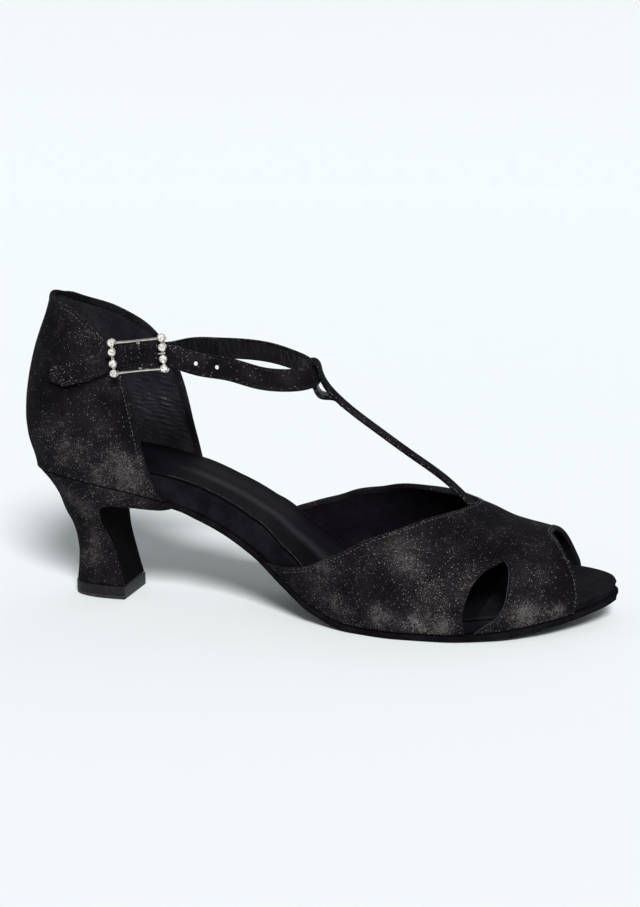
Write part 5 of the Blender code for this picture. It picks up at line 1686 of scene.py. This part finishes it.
fine_t = t_strap_path(300)
t_turn = smooth_step(fine_t[:, 3:])
t_along = unit(np.gradient(fine_t[:, :3], axis=0))
t_across = np.array([0, 1.0, 0]) * (1 - t_turn) - crossing()[1] * t_turn
t_across = unit(t_across - t_along * np.sum(t_across * t_along, axis=1)[:, None])
t_out = np.cross(t_across, t_along)
band("t_strap_suede", fine_t[:, :3], t_out, t_across, T_STRAP_WIDTH, T_STRAP_THICKNESS,
     [SUEDE_STRAP, STRAP_BACK], 260, ("t_strap",))
for side in (-1, 1):
    a = side * (T_STRAP_WIDTH / 2 - 0.0012)
    line = fine_t[:, :3] + t_across * a + t_out * (T_STRAP_THICKNESS / 2)
    sew(line[40:200], t_out[40:200], pitch=0.0016, length=0.0010, width=0.00028)


# Buckle


def round_cup(a, v):
    """A stone's cup with its rim: an open bowl of rings on the bar."""
    rings = ((-0.45, 0.30), (-0.45, 0.46), (-0.30, 0.50), (0.45, 0.50), (0.62, 0.47), (0.62, 0.40),
             (0.35, 0.36))
    sides = 20
    verts = []
    for n, radius in rings:
        for s in range(sides):
            angle = 2 * math.pi * s / sides
            bump = 1 + 0.05 * (1 if s % 4 < 2 else -1) * (1 if n > 0.4 else 0)
            reach = STONE_DIAMETER * radius * bump
            verts.append(in_buckle(a + reach * math.cos(angle), v + reach * math.sin(angle), BUCKLE_BAR * n))
    faces = [tuple(range(sides)), tuple(range((len(rings) - 1) * sides, len(rings) * sides))]
    for r in range(len(rings) - 1):
        for s in range(sides):
            t = (s + 1) % sides
            faces.append(ring_quad(r * sides, (r + 1) * sides, s, t))
    return np.array(verts), faces


def cut_stone(a, v, turn):
    """A round brilliant: girdle, crown facets and table."""
    sides = 16
    rings = ((0.0, 0.36), (0.30, 0.44), (0.42, 0.44), (0.75, 0.33), (1.0, 0.20))
    base = BUCKLE_BAR * 0.55 + GAP
    verts = []
    for r, (height, radius) in enumerate(rings):
        for s in range(sides):
            angle = 2 * math.pi * (s + 0.5 * (r % 2)) / sides + turn
            reach = STONE_DIAMETER * radius
            n = base + STONE_HEIGHT * height
            verts.append(in_buckle(a + reach * math.cos(angle), v + reach * math.sin(angle), n))
    faces = [tuple(range(sides)), tuple(range((len(rings) - 1) * sides, len(rings) * sides))]
    for r in range(len(rings) - 1):
        low = r * sides
        high = low + sides
        for s in range(sides):
            t = (s + 1) % sides
            if r % 2 == 0:
                faces += [(low + s, low + t, high + s), (high + s, low + t, high + t)]
            else:
                faces += [(low + s, low + t, high + t), (low + s, high + t, high + s)]
    return np.array(verts), faces


places = stone_places()
half = BUCKLE_LENGTH / 2
parts = []
for a in (-half, half):
    bar_line = [in_buckle(a, v, 0.0) for v in np.linspace(places[0], places[-1], 9)]
    parts.append(rod(bar_line, BUCKLE_BAR / 2, 14))
    parts += [round_cup(a, v) for v in places]
for v in (places[0], places[-1]):
    alongs = np.linspace(-half, half, 41)
    bows = v * (1 - RAIL_BOW / abs(v) * np.cos(np.pi * alongs / BUCKLE_LENGTH))
    thick = RAIL_DIAMETER / 2 * (0.9 + 0.25 * np.abs(alongs / half) ** 3)
    parts.append(rod([in_buckle(a, bow, 0.0) for a, bow in zip(alongs, bows)], thick, 14))
low = centre_bar_out()
wide = places[-1] - RAIL_BOW
bend = CENTRE_BAR_DIAMETER / 3
corner_rows = ((-wide, 0.0), (-wide, low + bend), (-wide + bend, low), (wide - bend, low), (wide, low + bend),
               (wide, 0.0))
parts.append(rod([in_buckle(0.0, v, n) for v, n in corner_rows], CENTRE_BAR_DIAMETER / 2
                 * np.array((0.5, 1.0, 1.0, 1.0, 1.0, 0.5)), 12))
points, shape = join(parts)
add_piece("buckle_silver_frame", points, shape, [SILVER], nodes=("buckle_frame",), slot="silver", wear=False)

number = 0
for a in (-half, half):
    for v in places:
        number += 1
        points, shape = cut_stone(a, v, number * 0.7)
        add_piece(f"cut_stone_{number}", points, shape, [STONE], nodes=(f"rhinestone_{number}",),
                  slot="clear_stone", sharp=6.0, wear=False)

bar = centre_bar_out()
low = bar - CENTRE_BAR_DIAMETER / 2 - GAP - PRONG_DIAMETER / 2
high = BUCKLE_BAR / 2 + GAP + PRONG_DIAMETER / 2
prong_rows = ((0.0, low), (0.25 * half, low), (0.48 * half, low + 0.0002), (0.70 * half, (low + high) / 2),
              (0.88 * half, high - 0.0004), (1.0 * half, high), (1.12 * half, high))
path = smooth_path([in_buckle(a, 0.0, n) for a, n in prong_rows], 60)
radii = PRONG_DIAMETER / 2 * np.interp(np.arange(60), (0, 40, 59), (1, 1, 0.7))
points, shape = rod(path, radii, 14)
add_piece("prong_pin", points, shape, [SILVER], nodes=("buckle_prong",), slot="silver", wear=False)
chape = frame["nodes"]["buckle_chape"]
chape.data.materials.clear()
chape.data.materials.append(SUEDE_RIM)

add_stitches()


# Flakes of foil on the suede


def scatter(objects, count, size):
    """Small flat flakes on the suede faces, more of them at edges and worn places."""
    random = np.random.default_rng(SEED)
    verts = []
    faces = []
    glints = []
    for made, share in objects:
        mesh = made.data
        total = len(mesh.polygons)
        areas = np.zeros(total)
        mesh.polygons.foreach_get("area", areas)
        kind = np.zeros(total, dtype=np.int32)
        mesh.polygons.foreach_get("material_index", kind)
        wear = np.zeros(len(mesh.vertices))
        mesh.attributes["wear"].data.foreach_get("value", wear)
        edge = np.zeros(len(mesh.vertices))
        mesh.attributes["edge"].data.foreach_get("value", edge)
        near_edge = np.array([edge[list(face.vertices)].mean() for face in mesh.polygons])
        worn = np.array([wear[list(face.vertices)].mean() for face in mesh.polygons])
        weight = areas * (kind == 0) * (0.20 + 1.5 * worn + 3.0 * near_edge)
        weight = weight / weight.sum()
        chosen = random.choice(total, int(count * share), p=weight)
        for index in chosen:
            face = mesh.polygons[int(index)]
            corners = [np.array(mesh.vertices[i].co) for i in face.vertices]
            mix = random.dirichlet(np.ones(len(corners)))
            point = sum(m * c for m, c in zip(mix, corners))
            normal = np.array(face.normal) + random.normal(0, 0.35, 3)
            normal = normal / np.linalg.norm(normal)
            side = np.cross(normal, random.normal(0, 1, 3))
            side = side / np.linalg.norm(side)
            other = np.cross(normal, side)
            reach = size * (0.55 + 0.6 * random.random())
            first = len(verts)
            verts += [point + side * reach, point + other * reach * 0.8, point - side * reach,
                      point - other * reach * 0.8, point + normal * reach * 0.45,
                      point - normal * reach * 0.45]
            for a, b in ((0, 1), (1, 2), (2, 3), (3, 0)):
                faces += [(first + a, first + b, first + 4), (first + b, first + a, first + 5)]
            glints += [random.random() ** 2] * 6
    made = add_piece("foil_flakes", np.array(verts) - SHIFT, faces, [GLINT], slot="black_suede", sharp=20.0,
                     wear=False)
    layer_glint = made.data.attributes.new("glint", "FLOAT", "POINT")
    layer_glint.data.foreach_set("value", np.array(glints, dtype=np.float32))


FLAKE_COUNT = 16000
FLAKE_SIZE = 0.000068
scatter(((vamp_cover, 0.52), (counter_cover, 0.30), (ankle, 0.18)), FLAKE_COUNT, FLAKE_SIZE)


# Floor, light and camera

WORLD_LIGHT = 0.26
KEY_LIGHT = 4.15
KEY_AZIMUTH = 22.0
KEY_ELEVATION = 37.5
KEY_ANGLE = 17.0
WHITE = 0.915
FLOOR_TINT = (0.945, 0.988, 1.0)
WORLD_TINT = (0.97, 0.985, 1.0, 1.0)


def floor_look(name):
    """Matte paper whose own tone is a vertex value, so that the sweep looks evenly white."""
    made, nodes, links, shader = new_material(name)
    tone = node(nodes, "ShaderNodeAttribute", attribute_name="tone").outputs["Fac"]
    links.new(blend_colour(nodes, links, tone, (0.0, 0.0, 0.0), FLOOR_TINT), shader.inputs["Base Color"])
    shader.inputs["Roughness"].default_value = 1.0
    shader.inputs["Specular IOR Level"].default_value = 0.0
    return made


FLOOR = floor_look("studio_floor")
SWEEP_START = 2.2
SWEEP_RADIUS = 1.6
SWEEP_TOP = 4.0
FLOOR_REACH = 8.0
# Light that the sweep throws back: its share at the sweep's foot, and how fast it fades on the floor in
# metres and up the sweep in radians
BOUNCE = 0.092
BOUNCE_FLOOR = 1.6
BOUNCE_SWEEP = 0.27
profile = [(-FLOOR_REACH, 0.0)] + [(SWEEP_START - back, 0.0) for back in (2.5, 2.0, 1.5, 1.0, 0.5, 0.0)]
for angle in np.linspace(0, math.pi / 2, 25)[1:]:
    profile.append((SWEEP_START + SWEEP_RADIUS * math.sin(angle), SWEEP_RADIUS * (1 - math.cos(angle))))
profile.append((SWEEP_START + SWEEP_RADIUS, SWEEP_TOP))
verts = [(side, y, z) for y, z in profile for side in (-FLOOR_REACH, FLOOR_REACH)]
faces = [(2 * i, 2 * i + 1, 2 * i + 3, 2 * i + 2) for i in range(len(profile) - 1)]
tones = []
for y, _ in profile:
    turned = math.asin(min(max((y - SWEEP_START) / SWEEP_RADIUS, 0.0), 1.0))
    direct = math.cos(turned) * math.sin(math.radians(KEY_ELEVATION))
    direct += math.sin(turned) * math.cos(math.radians(KEY_ELEVATION)) * math.cos(math.radians(KEY_AZIMUTH))
    open_share = (1 + math.cos(turned)) / 2
    around = WORLD_LIGHT * open_share + WHITE * (1 - open_share)
    bounced = BOUNCE * math.exp(-max(SWEEP_START - y, 0.0) / BOUNCE_FLOOR - turned / BOUNCE_SWEEP)
    tones += [WHITE * (1 - bounced) / (KEY_LIGHT / math.pi * direct + around)] * 2
mesh = bpy.data.meshes.new("studio_floor")
mesh.from_pydata(verts, [], faces)
mesh.materials.append(FLOOR)
mesh.shade_smooth()
mesh.attributes.new("tone", "FLOAT", "POINT").data.foreach_set("value", np.array(tones, dtype=np.float32))
floor = bpy.data.objects.new("studio_floor", mesh)
bpy.context.scene.collection.objects.link(floor)

world = bpy.data.worlds.new("studio")
world.use_nodes = True
world.node_tree.nodes["Background"].inputs["Color"].default_value = WORLD_TINT
world.node_tree.nodes["Background"].inputs["Strength"].default_value = WORLD_LIGHT
bpy.context.scene.world = world


def soft_sun(name, azimuth, elevation, angle, strength):
    """A wide sun; the azimuth is counted like the camera's, from the front."""
    lamp = bpy.data.lights.new(name, "SUN")
    lamp.energy = strength
    lamp.angle = math.radians(angle)
    made = bpy.data.objects.new(name, lamp)
    a, e = math.radians(azimuth), math.radians(elevation)
    way = np.array([math.sin(a) * math.cos(e), -math.cos(a) * math.cos(e), math.sin(e)])
    right = unit(np.cross(np.array([0, 0, 1.0]), way))
    up = np.cross(way, right)
    made.matrix_world = Matrix([(right[i], up[i], way[i], 0.0) for i in range(3)] + [(0, 0, 0, 1)])
    bpy.context.scene.collection.objects.link(made)
    return made


soft_sun("key", KEY_AZIMUTH, KEY_ELEVATION, KEY_ANGLE, KEY_LIGHT)

CAMERA_AZIMUTH = math.radians(14.33)
CAMERA_ELEVATION = math.radians(11.23)
CAMERA_ROLL = math.radians(-0.35)
CAMERA_PLACE = (0.19645, -0.75867, 0.21500)
CAMERA_LENS = 83.11
a, e, roll = CAMERA_AZIMUTH, CAMERA_ELEVATION, CAMERA_ROLL
back = np.array([math.sin(a) * math.cos(e), -math.cos(a) * math.cos(e), math.sin(e)])
right = np.array([math.cos(a), math.sin(a), 0.0])
up = np.cross(back, right)
turned_right = right * math.cos(roll) + up * math.sin(roll)
turned_up = up * math.cos(roll) - right * math.sin(roll)
camera = bpy.data.cameras.new("photo_camera")
camera.lens = CAMERA_LENS
camera.sensor_width = 36.0
camera.clip_start = 0.01
camera.clip_end = 60.0
camera_object = bpy.data.objects.new("photo_camera", camera)
camera_object.matrix_world = Matrix(
    [(turned_right[i], turned_up[i], back[i], CAMERA_PLACE[i]) for i in range(3)] + [(0, 0, 0, 1)]
)
bpy.context.scene.collection.objects.link(camera_object)
bpy.context.scene.camera = camera_object
bpy.context.scene.view_settings.view_transform = "Standard"
